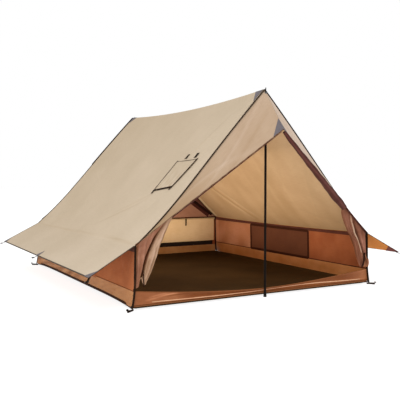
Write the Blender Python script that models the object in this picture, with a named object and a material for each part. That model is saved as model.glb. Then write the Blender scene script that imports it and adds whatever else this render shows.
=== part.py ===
"""A two-pole ridge tent in cotton canvas: sloping roof with side wings, low walls with roll-up
window covers, a hooded visor at each end, a bathtub floor, steel poles and pegged straps.

Metres, +Z up. The floor's middle is at the origin, the door end looks along -Y, and the left side
is -X. Cloth panels are thin closed solids: each outer surface is a grid or an outline that is
extruded by the cloth's thickness along one axis, so that neighbours meet rim to rim.
"""

from math import ceil, cos, pi, radians, sin, sqrt

import bmesh
import bpy
from mathutils import Matrix, Vector

LEFT, RIGHT = -1, 1
FRONT, REAR = -1, 1
SIDE_NAMES = {LEFT: "left", RIGHT: "right"}
END_NAMES = {FRONT: "front", REAR: "rear"}

# Driving dimensions of the tent
FLOOR_WIDTH = 3.00
FLOOR_DEPTH = 3.50
RIDGE_HEIGHT = 2.20
RIDGE_SAG = 0.06
EAVE_HEIGHT = 0.62
EAVE_SAG = 0.02
EAVE_INSET = 0.015
SLOPE_BOW = 0.032
SLOPE_BOW_POWER = 2.2
WING_REACH = 0.475
WING_DROP = 0.255
WING_FLARE = 0.063
VISOR_REACH = 0.344
VISOR_DROP = 0.449
SPIKE_STAND = {FRONT: 0.055, REAR: 0.012}

# Cloth and the clearance that neighbours keep
CLOTH = 0.004
NET = 0.0015
GAP = 0.0003

# Walls, windows and the strip of floor cloth that turns up into the walls
FLOOR_EDGE_RISE = 0.024
FLOOR_EDGE_TURN = 0.04
MUD_TOP = 0.19
REAR_MUD_TOP = 0.15
SILL_MIDDLE_TOP = 0.088
SILL_CURVE_POWER = 1.7
SILL_BULGE = 0.008
WINDOW_WIDTH = 1.36
WINDOW_DROP = 0.065
COVER_LAP = 0.02
REAR_STRIP = 0.06
REAR_VENT_DROP = 0.045
REAR_SLIT_TOP = 0.22
WALL_TOP_DROP = 0.006

# Door leaves, gathered along the visor's edge and tied back into the corners
LEAF_GATHER = 0.055
LEAF_EDGE_SHARE = 0.26
LEAF_FOLDS = 5
LEAF_FOLD_DEPTH = 0.022
LEAF_TIP_HEIGHT = 0.235
LEAF_TIP_INSET = 0.115
TIE_LENGTH = 0.16
TIE_WIDTH = 0.022

# Stove-pipe panel in the left slope, under its weather flap
JACK_FRONT = 0.36
JACK_WIDTH = 0.32
JACK_TOP = 1.01
JACK_HEIGHT = 0.34
FLAP_FRONT = 0.244
FLAP_WIDTH = 0.469
FLAP_TOP = 0.975
FLAP_HEIGHT = 0.426
FLAP_SHEAR = 0.049
FLAP_TAPER = 0.041
FLAP_SLANT = 0.026
FLAP_THICK = 0.004
FLAP_LIFT = 0.0012
STOVE_STRAP_LENGTH = 0.065
STOVE_STRAP_WIDTH = 0.025
STOVE_STRAP_START = 0.018
STOVE_STRAP_SHARES = {"front": 0.2, "rear": 0.65}

# Straps, toggles and pegs
WEBBING_WIDTH = 0.025
WEBBING_THICK = 0.002
PEG_STRAP_WIDTH = 0.02
WING_STRAP_LENGTH = 0.055
WING_STRAP_LAP = 0.05
TOGGLE_RADIUS = 0.004
TOGGLE_END_RADIUS = 0.0062
TOGGLE_LENGTH = 0.042
PEG_RADIUS = 0.0035
PEG_HEAD_RADIUS = 0.011
PEG_HEIGHT = 0.046
PEG_STRAP_LENGTH = 0.075
REAR_TIE_LENGTH = 0.113
REAR_TIE_PLACE = 0.917
REAR_COVER_PART = 0.06

# Poles: POLE_STAND is how far each stands outside its end wall's plane
POLE_RADIUS = 0.0125
POLE_WALL = 0.0012
POLE_STAND = {FRONT: 0.035, REAR: -0.06}
POLE_HEAD_ROOM = 0.03
CONE_HEIGHT = 0.03
POLE_SECTIONS = 3
SPIGOT_LENGTH = 0.08
SPIKE_RADIUS = 0.005
FOOT_HEIGHT = 0.045
FOOT_SOLE = 0.006
FOOT_WALL = 0.004

# Facets
SLOPE_ROWS = 8
WING_ROWS = 3
ROOF_COLUMNS = 14
VISOR_ROWS = 4
FLOOR_EDGE_STEPS = 3
LEAF_COLUMNS = 42
LEAF_ROWS = 7
POLE_SIDES = 20
TOGGLE_SIDES = 12

# Sizes that follow from the ones above
HALF_WIDTH = FLOOR_WIDTH / 2
HALF_DEPTH = FLOOR_DEPTH / 2
EAVE_HALF = HALF_WIDTH - EAVE_INSET
SLOPE_RUN = EAVE_HALF
SLOPE_FALL = RIDGE_HEIGHT - EAVE_HEIGHT
SLOPE_LENGTH = sqrt(SLOPE_RUN**2 + SLOPE_FALL**2)
END_FACE = HALF_DEPTH + GAP + CLOTH
VISOR_HEIGHT = RIDGE_HEIGHT - VISOR_DROP
WINDOW_TOP = EAVE_HEIGHT - WINDOW_DROP
REAR_VENT_TOP = EAVE_HEIGHT - REAR_VENT_DROP


def clear_scene():
    for obj in list(bpy.data.objects):
        bpy.data.objects.remove(obj, do_unlink=True)


def make_material(name, colour, roughness, metallic=0.0):
    """A Principled material whose colour is given as an sRGB hex string."""
    material = bpy.data.materials.new(name)
    material.use_nodes = True
    shader = material.node_tree.nodes["Principled BSDF"]
    channels = [int(colour[i : i + 2], 16) / 255 for i in (0, 2, 4)]
    linear = [c / 12.92 if c <= 0.04045 else ((c + 0.055) / 1.055) ** 2.4 for c in channels]
    shader.inputs["Base Color"].default_value = (*linear, 1.0)
    shader.inputs["Roughness"].default_value = roughness
    shader.inputs["Metallic"].default_value = metallic
    material.diffuse_color = (*linear, 1.0)
    return material


def make_materials():
    return {
        "roof": make_material("roof_canvas", "D0BFA8", 0.9),
        "visor": make_material("visor_canvas", "C4A98C", 0.9),
        "wall": make_material("wall_canvas", "A5633C", 0.9),
        "mud": make_material("mud_wall_cloth", "B06A3C", 0.8),
        "floor": make_material("groundsheet_cloth", "2E2015", 0.7),
        "net": make_material("window_net", "5C3620", 0.9),
        "web": make_material("webbing", "33261C", 0.8),
        "jack": make_material("heat_proof_cloth", "8F8C86", 0.6),
        "steel": make_material("painted_steel", "2A2420", 0.4, 0.6),
        "rubber": make_material("rubber", "151312", 0.85),
        "plastic": make_material("toggle_plastic", "1E1B19", 0.5),
    }


def finish_object(name, bm, material, smooth=True):
    """Turns a closed bmesh into a named object with outward faces."""
    bmesh.ops.remove_doubles(bm, verts=bm.verts, dist=1e-6)
    bmesh.ops.recalc_face_normals(bm, faces=bm.faces)
    mesh = bpy.data.meshes.new(name)
    bm.to_mesh(mesh)
    bm.free()
    mesh.materials.append(material)
    if smooth:
        mesh.shade_smooth()
        mesh.set_sharp_from_angle(angle=radians(30))
    obj = bpy.data.objects.new(name, mesh)
    bpy.context.scene.collection.objects.link(obj)
    return obj


def thicken(bm, push):
    """Extrudes every face of an open surface along push, which leaves a closed solid."""
    bmesh.ops.remove_doubles(bm, verts=bm.verts, dist=1e-6)
    bmesh.ops.dissolve_degenerate(bm, dist=1e-6, edges=bm.edges)
    surface = list(bm.faces)
    copy = bmesh.ops.extrude_face_region(bm, geom=surface, use_keep_orig=True)
    moved = [item for item in copy["geom"] if isinstance(item, bmesh.types.BMVert)]
    bmesh.ops.translate(bm, verts=moved, vec=push)


def sheet(name, rows, push, material):
    """A cloth solid from a grid of outer points, thickened along push."""
    bm = bmesh.new()
    verts = [[bm.verts.new(point) for point in row] for row in rows]
    for upper, lower in zip(verts, verts[1:]):
        for i in range(len(upper) - 1):
            bm.faces.new((upper[i], upper[i + 1], lower[i + 1], lower[i]))
    thicken(bm, push)
    return finish_object(name, bm, material)


def plate(name, outline, push, material, smooth=False):
    """A solid from one flat outline of points, extruded along push."""
    bm = bmesh.new()
    bm.faces.new([bm.verts.new(point) for point in outline])
    thicken(bm, push)
    return finish_object(name, bm, material, smooth)


def turned(name, profile, place, axis, sides, material):
    """A solid of revolution: profile is (radius, height) pairs, closed unless it ends on the axis."""
    bm = bmesh.new()
    verts = [bm.verts.new((radius, 0, height)) for radius, height in profile]
    edges = [bm.edges.new(pair) for pair in zip(verts, verts[1:])]
    if profile[0][0] > 0 and profile[-1][0] > 0:
        edges.append(bm.edges.new((verts[-1], verts[0])))
    bmesh.ops.spin(
        bm, geom=verts + edges, axis=(0, 0, 1), cent=(0, 0, 0), angle=2 * pi, steps=sides,
        use_merge=True,
    )
    bmesh.ops.remove_doubles(bm, verts=bm.verts, dist=1e-6)
    bmesh.ops.dissolve_degenerate(bm, dist=1e-6, edges=bm.edges)
    obj = finish_object(name, bm, material)
    turn = Vector((0, 0, 1)).rotation_difference(Vector(axis)).to_matrix().to_4x4()
    obj.data.transform(turn)
    obj.location = place
    return obj


def move_origin(obj, place):
    """Puts the object's origin at place and leaves its shape where it is."""
    shift = Vector(place) - obj.location
    obj.data.transform(Matrix.Translation(-shift))
    obj.location = place


def spread(count):
    """count + 1 even steps from 0 to 1."""
    return [i / count for i in range(count + 1)]


def cut(obj, name, cutter_mesh):
    """Cuts obj with a hidden cutter made from cutter_mesh."""
    cutter = bpy.data.objects.new(name, cutter_mesh)
    bpy.context.scene.collection.objects.link(cutter)
    cutter.hide_render = True
    cutter.display_type = "WIRE"
    cutter.parent = obj
    cutter.matrix_parent_inverse = obj.matrix_world.inverted()
    boolean = obj.modifiers.new(name, "BOOLEAN")
    boolean.operation = "DIFFERENCE"
    boolean.solver = "EXACT"
    boolean.object = cutter


def slope_profile(share):
    """(half width, height) of the slope at a share of its way down, straight between facet rows."""
    row = min(SLOPE_ROWS - 1, int(share * SLOPE_ROWS))
    high, low = (Vector(bowed_profile(i / SLOPE_ROWS)) for i in (row, row + 1))
    across, up = high.lerp(low, share * SLOPE_ROWS - row)
    return across, up


def bowed_profile(share):
    """(half width, height) of the slope's smooth curve, which hangs inward between the seams."""
    bow = SLOPE_BOW * sin(pi * share**SLOPE_BOW_POWER)
    across = SLOPE_RUN * share - bow * SLOPE_FALL / SLOPE_LENGTH
    up = RIDGE_HEIGHT - SLOPE_FALL * share - bow * SLOPE_RUN / SLOPE_LENGTH
    return across, up


def sag_at(along):
    """0 at either end of the tent and 1 at its middle; along runs from -1 to 1."""
    return 1 - along**2


def roof_point(side, along, share):
    """A point of the roof's upper surface: share 0 is the ridge, 1 the eave, 2 the wing's edge."""
    if share <= 1:
        across, up = slope_profile(share)
        sag = RIDGE_SAG * (1 - share) + EAVE_SAG * share
        return Vector((side * across, along * HALF_DEPTH, up - sag * sag_at(along)))
    out = share - 1
    return Vector(
        (
            side * (EAVE_HALF + WING_REACH * out),
            along * (HALF_DEPTH + WING_FLARE * out),
            EAVE_HEIGHT - WING_DROP * out - EAVE_SAG * (1 - out) * sag_at(along),
        )
    )


def facet_stations(start, end, step):
    """start, the roof's facet lines between start and end, and end."""
    lines = [i * step for i in range(ceil(start / step), ceil(end / step))]
    return [start] + [line for line in lines if start + GAP < line < end - GAP] + [end]


def slope_point(side, back, down, lift=0.0):
    """A point on a slope: back from the front edge, down from the ridge and lifted off the cloth."""
    along = (back - HALF_DEPTH) / HALF_DEPTH
    share = down / SLOPE_LENGTH
    step = 0.01
    here = roof_point(side, along, share)
    down_way = roof_point(side, along, share + step) - here
    back_way = roof_point(side, along + step, share) - here
    normal = back_way.cross(down_way).normalized()
    if normal.z < 0:
        normal.negate()
    return here + normal * lift


def wall_x(height):
    """Half width of the side walls' outer face at a height."""
    return HALF_WIDTH - EAVE_INSET * height / EAVE_HEIGHT


def build_roofs(materials):
    columns = [2 * t - 1 for t in spread(ROOF_COLUMNS)]
    shares = spread(SLOPE_ROWS) + [1 + t for t in spread(WING_ROWS)[1:]]
    for side, side_name in SIDE_NAMES.items():
        rows = [[roof_point(side, along, share) for along in columns] for share in shares]
        for point in rows[0]:
            point.x = side * GAP / 2
        sheet(f"roof_{side_name}", rows, Vector((0, 0, -CLOTH)), materials["roof"])
        cut(bpy.data.objects[f"roof_{side_name}"], f"rear_spike_hole_{side_name}", spike_hole(REAR))
    cut(bpy.data.objects["roof_left"], "stove_panel_cutter", jack_block(0.0, 0.02))


def jack_block(inset, reach):
    """A block through the left slope over the stove panel's place, shrunk all round by inset."""
    backs = (JACK_FRONT + inset, JACK_FRONT + JACK_WIDTH - inset)
    downs = (JACK_TOP + inset, JACK_TOP + JACK_HEIGHT - inset)
    ring = [(backs[0], downs[0]), (backs[1], downs[0]), (backs[1], downs[1]), (backs[0], downs[1])]
    bm = bmesh.new()
    top = [bm.verts.new(slope_point(LEFT, b, d) + Vector((0, 0, reach))) for b, d in ring]
    low = [bm.verts.new(slope_point(LEFT, b, d) - Vector((0, 0, reach))) for b, d in ring]
    bm.faces.new(top)
    bm.faces.new(low)
    for i in range(4):
        bm.faces.new((top[i], top[(i + 1) % 4], low[(i + 1) % 4], low[i]))
    bmesh.ops.recalc_face_normals(bm, faces=bm.faces)
    mesh = bpy.data.meshes.new("stove_panel_block")
    bm.to_mesh(mesh)
    bm.free()
    return mesh


def flap_place(back, down):
    """Where a point of a square flap lies on the real one, whose foot is narrower and slants."""
    share = (down - FLAP_TOP) / FLAP_HEIGHT
    across = 2 * (back - FLAP_FRONT) / FLAP_WIDTH - 1
    return back + (FLAP_SHEAR - across * FLAP_TAPER) * share, down + across * FLAP_SLANT * share


def build_stove_panel(materials):
    """The heat-proof panel sewn into the roof, its weather flap and the two straps above it."""
    along_step = FLOOR_DEPTH / ROOF_COLUMNS
    down_step = SLOPE_LENGTH / SLOPE_ROWS
    backs = facet_stations(JACK_FRONT + GAP, JACK_FRONT + JACK_WIDTH - GAP, along_step)
    downs = facet_stations(JACK_TOP + GAP, JACK_TOP + JACK_HEIGHT - GAP, down_step)
    rows = [[slope_point(LEFT, back, down) for back in backs] for down in downs]
    sheet("stove_panel", rows, Vector((0, 0, -CLOTH)), materials["jack"])

    backs = facet_stations(FLAP_FRONT, FLAP_FRONT + FLAP_WIDTH, along_step)
    downs = facet_stations(FLAP_TOP, FLAP_TOP + FLAP_HEIGHT, down_step)
    rows = [[slope_point(LEFT, *flap_place(back, down), FLAP_LIFT) for back in backs] for down in downs]
    normal = slope_point(LEFT, backs[1], FLAP_TOP, 1.0) - slope_point(LEFT, backs[1], FLAP_TOP)
    flap = sheet("stove_flap", rows, normal * FLAP_THICK, materials["roof"])
    move_origin(flap, (rows[0][0] + rows[0][-1]) / 2 + normal * FLAP_THICK / 2)

    start = FLAP_TOP - STOVE_STRAP_START
    for name, share in STOVE_STRAP_SHARES.items():
        middle = FLAP_FRONT + FLAP_WIDTH * share
        rows = [
            [
                slope_point(LEFT, middle + offset, start - STOVE_STRAP_LENGTH * t, 3 * GAP)
                for offset in (-STOVE_STRAP_WIDTH / 2, STOVE_STRAP_WIDTH / 2)
            ]
            for t in spread(2)
        ]
        sheet(f"stove_strap_{name}", rows, normal * WEBBING_THICK, materials["web"])


def visor_edge(end, share):
    """The visor's lower edge: share 0 is its forward tip, 1 and -1 are the eave corners."""
    reach = END_FACE + VISOR_REACH * (1 - abs(share))
    return Vector(
        (
            EAVE_HALF * share,
            end * reach,
            EAVE_HEIGHT + (VISOR_HEIGHT - EAVE_HEIGHT) * (1 - abs(share)),
        )
    )


def build_visors(materials):
    """The hood at each end: from the roof's end edge down and out to a tip on the centre line."""
    shares = [i / SLOPE_ROWS for i in range(-SLOPE_ROWS, SLOPE_ROWS + 1)]
    for end, end_name in END_NAMES.items():
        rows = []
        for t in spread(VISOR_ROWS):
            row = []
            for share in shares:
                across, up = slope_profile(abs(share))
                side = -1 if share < 0 else 1
                top = Vector((side * across, end * END_FACE, up))
                row.append(top.lerp(visor_edge(end, share), t))
            rows.append(row)
        visor = sheet(f"{end_name}_visor", rows, Vector((0, -end * CLOTH, 0)), materials["visor"])
        if POLE_STAND[end] > 0:
            cut(visor, f"{end_name}_spike_hole", spike_hole(end))


def pole_place(end):
    """The foot of a pole's axis."""
    return Vector((0, end * (HALF_DEPTH + POLE_STAND[end]), 0))


def spike_hole(end):
    """A round cutter for the grommet hole that a pole's spike comes through."""
    bm = bmesh.new()
    bmesh.ops.create_cone(
        bm, cap_ends=True, segments=POLE_SIDES, radius1=SPIKE_RADIUS + GAP,
        radius2=SPIKE_RADIUS + GAP, depth=0.1,
        matrix=Matrix.Translation(pole_place(end) + Vector((0, 0, cloth_height(end)))),
    )
    mesh = bpy.data.meshes.new("spike_hole")
    bm.to_mesh(mesh)
    bm.free()
    return mesh


def cloth_height(end):
    """Height of the cloth's upper face where a pole's spike comes through it."""
    stand = POLE_STAND[end]
    if stand > 0:
        return RIDGE_HEIGHT - (stand - GAP - CLOTH) * VISOR_DROP / VISOR_REACH
    return RIDGE_HEIGHT - RIDGE_SAG * sag_at(1 + stand / HALF_DEPTH)


def build_rear_gable(materials):
    """The closed panel under the rear hood, which leans out to the hood's tip."""
    lap = 0.018
    heights = [EAVE_HEIGHT - lap] + [
        EAVE_HEIGHT + (VISOR_HEIGHT - 0.012 - EAVE_HEIGHT) * t for t in spread(6)
    ]
    rows = []
    for height in heights:
        rise = max(0.0, height - EAVE_HEIGHT) / (VISOR_HEIGHT - EAVE_HEIGHT)
        half = EAVE_HALF * (1 - rise) - 3 * GAP - (0.01 if rise == 0 else 0.0)
        face = END_FACE + VISOR_REACH * rise
        rows.append([Vector((half * (2 * t - 1), face, height)) for t in spread(6)])
    sheet("rear_gable", rows, Vector((0, -CLOTH, 0)), materials["visor"])


def side_outline(side, points):
    """Points (along the tent, height) placed on a side wall's leaning outer face."""
    return [Vector((side * wall_x(height), along, height)) for along, height in points]


def build_side_walls(materials):
    """Each side has its wall with a window cut-out, the net, the outside cover and the mud wall."""
    end = HALF_DEPTH
    half = WINDOW_WIDTH / 2
    for side, side_name in SIDE_NAMES.items():
        inward = Vector((-side, 0, 0))
        top = [
            (end * (1 - 2 * t), EAVE_HEIGHT - WALL_TOP_DROP - EAVE_SAG * sag_at(1 - 2 * t))
            for t in spread(10)
        ]
        foot = MUD_TOP + GAP
        notch = [
            (-end, foot), (-half, foot), (-half, WINDOW_TOP), (half, WINDOW_TOP), (half, foot),
            (end, foot),
        ]
        plate(f"wall_{side_name}", side_outline(side, notch + top), inward * CLOTH, materials["wall"])

        low, high, reach = foot + GAP, WINDOW_TOP - GAP, half - GAP
        net = side_outline(side, [(-reach, low), (reach, low), (reach, high), (-reach, high)])
        net = [point + inward * (CLOTH - NET) for point in net]
        plate(f"window_net_{side_name}", net, inward * NET, materials["net"])

        low, high, reach = MUD_TOP - COVER_LAP, WINDOW_TOP + COVER_LAP, half + COVER_LAP
        cover = side_outline(side, [(-reach, low), (reach, low), (reach, high), (-reach, high)])
        cover = [point - inward * GAP for point in cover]
        obj = plate(f"window_cover_{side_name}", cover, -inward * CLOTH, materials["wall"])
        move_origin(obj, (cover[2] + cover[3]) / 2 - inward * CLOTH / 2)

        low = FLOOR_EDGE_RISE + CLOTH + GAP
        strip = side_outline(side, [(-end, low), (end, low), (end, MUD_TOP), (-end, MUD_TOP)])
        plate(f"mud_wall_{side_name}", strip, inward * CLOTH, materials["mud"])


def rectangle_x(near, far, face, low, high):
    """The corners of an upright rectangle that faces along Y."""
    return [Vector((x, face, z)) for x, z in ((near, low), (far, low), (far, high), (near, high))]


def build_rear_wall(materials):
    """The low rear wall: a band with a wide net vent, two inside covers and a tie on each cover."""
    inward = Vector((0, -1, 0))
    span = wall_x(MUD_TOP) - CLOTH - 3 * GAP
    top_span = wall_x(EAVE_HEIGHT) - CLOTH - 3 * GAP
    top = EAVE_HEIGHT - WALL_TOP_DROP
    vent = span - REAR_STRIP
    foot = REAR_MUD_TOP + GAP
    notch = [
        (-span, foot), (-vent, foot), (-vent, REAR_VENT_TOP), (vent, REAR_VENT_TOP), (vent, foot),
        (span, foot), (top_span, top), (-top_span, top),
    ]
    outline = [Vector((x, HALF_DEPTH, z)) for x, z in notch]
    plate("wall_rear", outline, inward * CLOTH, materials["wall"])

    reach = vent - GAP
    net = rectangle_x(-reach, reach, HALF_DEPTH, foot + GAP, REAR_VENT_TOP - GAP)
    plate("rear_vent_net", net, inward * NET, materials["net"])
    strip = rectangle_x(-span, span, HALF_DEPTH, FLOOR_EDGE_RISE + CLOTH + GAP, REAR_MUD_TOP)
    plate("mud_wall_rear", strip, inward * CLOTH, materials["mud"])

    hinge_height = REAR_VENT_TOP + COVER_LAP
    cover_face = HALF_DEPTH - CLOTH - GAP
    tie_face = cover_face - CLOTH - GAP
    for side, side_name in SIDE_NAMES.items():
        near, far = side * REAR_COVER_PART, side * (vent + COVER_LAP)
        outline = rectangle_x(near, far, cover_face, REAR_SLIT_TOP, hinge_height)
        cover = plate(f"rear_vent_cover_{side_name}", outline, inward * CLOTH, materials["visor"])
        move_origin(cover, ((near + far) / 2, cover_face - CLOTH / 2, hinge_height))
        near, far = (side * REAR_TIE_PLACE + offset for offset in (-TIE_WIDTH / 2, TIE_WIDTH / 2))
        outline = rectangle_x(near, far, tie_face, hinge_height - REAR_TIE_LENGTH, hinge_height)
        plate(f"rear_cover_tie_{side_name}", outline, inward * WEBBING_THICK, materials["web"])


def build_floor(materials):
    """The groundsheet, flat with its edges turned up all round."""
    def stations(half):
        edge = [half - FLOOR_EDGE_TURN * (1 - t) for t in spread(FLOOR_EDGE_STEPS)]
        return [-place for place in edge[::-1]] + edge

    def rise(x, y):
        past = max(abs(x) - HALF_WIDTH, abs(y) - HALF_DEPTH) + FLOOR_EDGE_TURN
        return FLOOR_EDGE_RISE * (max(0.0, past) / FLOOR_EDGE_TURN) ** 2

    rows = [
        [Vector((x, y, rise(x, y))) for x in stations(HALF_WIDTH)] for y in stations(HALF_DEPTH)
    ]
    sheet("groundsheet", rows, Vector((0, 0, CLOTH)), materials["floor"])


def sill_top(x):
    """Height of the door sill's slack top edge."""
    share = min(1.0, abs(x) / HALF_WIDTH)
    return SILL_MIDDLE_TOP + (MUD_TOP - SILL_MIDDLE_TOP) * share**SILL_CURVE_POWER


def build_sill(materials):
    """The strip of mud wall under the open door, sagging between the corners."""
    low = FLOOR_EDGE_RISE + CLOTH + GAP
    span = wall_x(MUD_TOP) - CLOTH - 3 * GAP
    rows = []
    for t in spread(3):
        row = []
        for s in spread(16):
            x = span * (2 * s - 1)
            height = low + (sill_top(x) - low) * t
            bulge = SILL_BULGE * sin(pi * t) * sag_at(2 * s - 1)
            row.append(Vector((x, -HALF_DEPTH + bulge, height)))
        rows.append(row)
    sheet("door_sill", rows, Vector((0, CLOTH, 0)), materials["mud"])


def build_door_leaves(materials):
    """Each leaf is gathered along the visor's edge and falls in folds into its tied corner."""
    start = 0.06
    corner_x = wall_x(MUD_TOP) - CLOTH - 4 * GAP
    for side, side_name in SIDE_NAMES.items():
        rows = [[] for _ in range(LEAF_ROWS + 1)]
        for s in spread(LEAF_COLUMNS):
            share = start + (0.985 - start) * s
            top = visor_edge(FRONT, side * share)
            top.z -= GAP
            turn = 1 - LEAF_EDGE_SHARE
            if share < turn:
                drop = LEAF_GATHER * (share / turn) ** 0.7
                foot = Vector((top.x * (1 - 0.25 * drop), top.y, top.z - drop))
                fan = 0.0
            else:
                fan = (share - turn) / (1 - turn)
                edge = visor_edge(FRONT, side * turn)
                gathered = Vector((edge.x, -HALF_DEPTH, edge.z - LEAF_GATHER))
                tip = Vector((side * (corner_x - LEAF_TIP_INSET), -HALF_DEPTH, LEAF_TIP_HEIGHT))
                corner = Vector((side * corner_x, -HALF_DEPTH, MUD_TOP + 0.02))
                foot = gathered.lerp(tip, fan / 0.4) if fan < 0.4 else tip.lerp(corner, (fan - 0.4) / 0.6)
            wave = 0.5 - 0.5 * cos(2 * pi * LEAF_FOLDS * max(0.0, s - 0.45) / 0.55)
            for row, t in zip(rows, spread(LEAF_ROWS)):
                point = top.lerp(foot, t)
                lean = visor_edge(FRONT, 0)
                rise = max(0.0, point.z - EAVE_HEIGHT) / (lean.z - EAVE_HEIGHT)
                face = -(HALF_DEPTH + VISOR_REACH * rise)
                limit = side * (wall_x(point.z) - CLOTH - 4 * GAP)
                if abs(point.x) > abs(limit):
                    point.x = limit
                depth = LEAF_FOLD_DEPTH * wave * (0.35 + 0.65 * sin(pi * min(1.0, 0.15 + 0.85 * t)))
                point.y = face + GAP + depth
                row.append(point)
        sheet(f"door_leaf_{side_name}", rows, Vector((0, CLOTH, 0)), materials["visor"])
        build_door_tie(side, side_name, corner_x, materials)


def build_door_tie(side, side_name, corner_x, materials):
    """The strap that holds a tied-back leaf, lying on the leaf's outer face."""
    high = Vector((side * (corner_x - 0.04), 0, 2 * MUD_TOP))
    low = Vector((side * (corner_x - 0.085), 0, 2 * MUD_TOP - TIE_LENGTH))
    across = Vector((TIE_WIDTH / 2, 0, 0))
    outline = [high - across, high + across, low + across, low - across]
    for point in outline:
        point.y = -HALF_DEPTH
    plate(f"door_tie_{side_name}", outline, Vector((0, -WEBBING_THICK, 0)), materials["web"])


def build_edge_webbing(materials):
    """The strap along each end of the roof, from one floor corner over the ridge to the other."""
    for end, end_name in END_NAMES.items():
        half = [slope_profile(t) for t in spread(SLOPE_ROWS)][1:]
        foot_height = FLOOR_EDGE_RISE + GAP
        path = [(-x, z) for x, z in reversed(half)] + [(0.0, RIDGE_HEIGHT)] + half
        path = [(-wall_x(foot_height), foot_height)] + path + [(wall_x(foot_height), foot_height)]
        inner, outer = (offset_path(path, lift) for lift in (GAP, GAP + WEBBING_THICK))
        near = HALF_DEPTH + 2 * GAP
        outline = [Vector((x, end * near, z)) for x, z in inner + outer[::-1]]
        push = Vector((0, end * WEBBING_WIDTH, 0))
        plate(f"{end_name}_edge_webbing", outline, push, materials["web"])


def offset_path(path, distance):
    """An open (x, z) path moved to its left-hand, outer side by a distance."""
    moved = []
    for i, (x, z) in enumerate(path):
        before = Vector(path[max(0, i - 1)])
        after = Vector(path[min(len(path) - 1, i + 1)])
        here = Vector((x, z))
        first = (here - before).normalized() if i else (after - here).normalized()
        second = (after - here).normalized() if i < len(path) - 1 else first
        middle = (first + second).normalized()
        normal = Vector((-middle.y, middle.x))
        stretch = 1 / max(0.3, middle.dot(first))
        moved.append((x + normal.x * distance * stretch, z + normal.y * distance * stretch))
    return moved


def strap_with_loop(name, start, out, across, width, length, bar_radius, material):
    """A webbing strap from start along out, folded back on itself round a bar at its end."""
    up = across.cross(out).normalized()
    centre_radius = bar_radius + GAP + WEBBING_THICK / 2
    steps = 9
    sweep = radians(250)
    middle_line = [(0.0, 0.0), (length, 0.0)]
    for i in range(1, steps + 1):
        angle = pi / 2 - sweep * i / steps
        middle_line.append(
            (length + centre_radius * cos(angle), centre_radius * (sin(angle) - 1))
        )
    middle_line.append((length - 4 * centre_radius, -WEBBING_THICK - GAP))
    near = offset_path(middle_line, WEBBING_THICK / 2)
    far = offset_path(middle_line, -WEBBING_THICK / 2)
    half = across.normalized() * width / 2
    outline = [start - half + out * a + up * b for a, b in near + far[::-1]]
    plate(name, outline, 2 * half, material)
    return start + out * length - up * centre_radius


def build_wing_straps(materials):
    """A strap under each corner and the middle of both wing edges, each ending round a toggle."""
    for side, side_name in SIDE_NAMES.items():
        for along, place in ((-1, "front"), (0, "middle"), (1, "rear")):
            edge = roof_point(side, along, 2)
            inner = roof_point(side, along * 0.97, 1.85)
            spread_out = Vector((side * (0.55 if along else 1.0), 0.8 * along, 0)).normalized()
            run = (edge - inner).normalized()
            out = Vector((spread_out.x, spread_out.y, run.z)).normalized()
            across = out.cross(Vector((0, 0, 1))).normalized()
            start = edge - out * WING_STRAP_LAP
            start.z -= CLOTH + WEBBING_THICK / 2
            drop = Vector((0, 0, wing_clearance(start, out, across, side)))
            bar = strap_with_loop(
                f"wing_strap_{place}_{side_name}", start - drop, out, -across, WEBBING_WIDTH,
                WING_STRAP_LAP + WING_STRAP_LENGTH, TOGGLE_RADIUS, materials["web"],
            )
            half = TOGGLE_LENGTH / 2
            neck = WEBBING_WIDTH / 2 + 2 * GAP
            profile = [
                (0, -half), (TOGGLE_END_RADIUS * 0.7, -half), (TOGGLE_END_RADIUS, -half + 0.0015),
                (TOGGLE_END_RADIUS, -neck - 0.003), (TOGGLE_RADIUS, -neck), (TOGGLE_RADIUS, neck),
                (TOGGLE_END_RADIUS, neck + 0.003), (TOGGLE_END_RADIUS, half - 0.0015),
                (TOGGLE_END_RADIUS * 0.7, half), (0, half),
            ]
            turned(
                f"wing_toggle_{place}_{side_name}", profile, bar, across, TOGGLE_SIDES,
                materials["plastic"],
            )


def wing_clearance(start, out, across, side):
    """How far a strap from start must drop so that it clears the wing's underside by a gap."""
    need = 0.0
    for t in spread(8):
        for offset in (-0.5, 0, 0.5):
            point = start + out * (WING_STRAP_LAP * t) + across * (WEBBING_WIDTH * offset)
            share = 1 + (abs(point.x) - EAVE_HALF) / WING_REACH
            if share > 2:
                continue
            along = point.y / (HALF_DEPTH + WING_FLARE * (share - 1))
            under = roof_point(side, max(-1, min(1, along)), share).z - CLOTH
            need = max(need, point.z + WEBBING_THICK / 2 * 1.15 + 2 * GAP - under)
    return need


def build_peg_straps(materials):
    """A strap from each floor corner, standing on edge and looped round its peg."""
    for side, side_name in SIDE_NAMES.items():
        for end, end_name in END_NAMES.items():
            out = Vector((side * 0.8, end * 0.6, 0)).normalized()
            start = Vector((side * (HALF_WIDTH - GAP), end * (HALF_DEPTH - GAP), 0))
            start.z = FLOOR_EDGE_RISE - 3 * GAP - PEG_STRAP_WIDTH / 2
            across = Vector((0, 0, 1))
            bar = strap_with_loop(
                f"peg_strap_{end_name}_{side_name}", start, out, across, PEG_STRAP_WIDTH,
                PEG_STRAP_LENGTH, PEG_RADIUS, materials["web"],
            )
            neck = PEG_HEIGHT - 0.007
            profile = [
                (0, 0), (PEG_RADIUS, 0), (PEG_RADIUS, neck), (PEG_HEAD_RADIUS * 0.9, neck),
                (PEG_HEAD_RADIUS, neck + 0.002), (PEG_HEAD_RADIUS, PEG_HEIGHT - 0.002),
                (PEG_HEAD_RADIUS * 0.8, PEG_HEIGHT), (0, PEG_HEIGHT),
            ]
            turned(
                f"peg_{end_name}_{side_name}", profile, (bar.x, bar.y, 0), (0, 0, 1),
                TOGGLE_SIDES, materials["steel"],
            )


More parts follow.
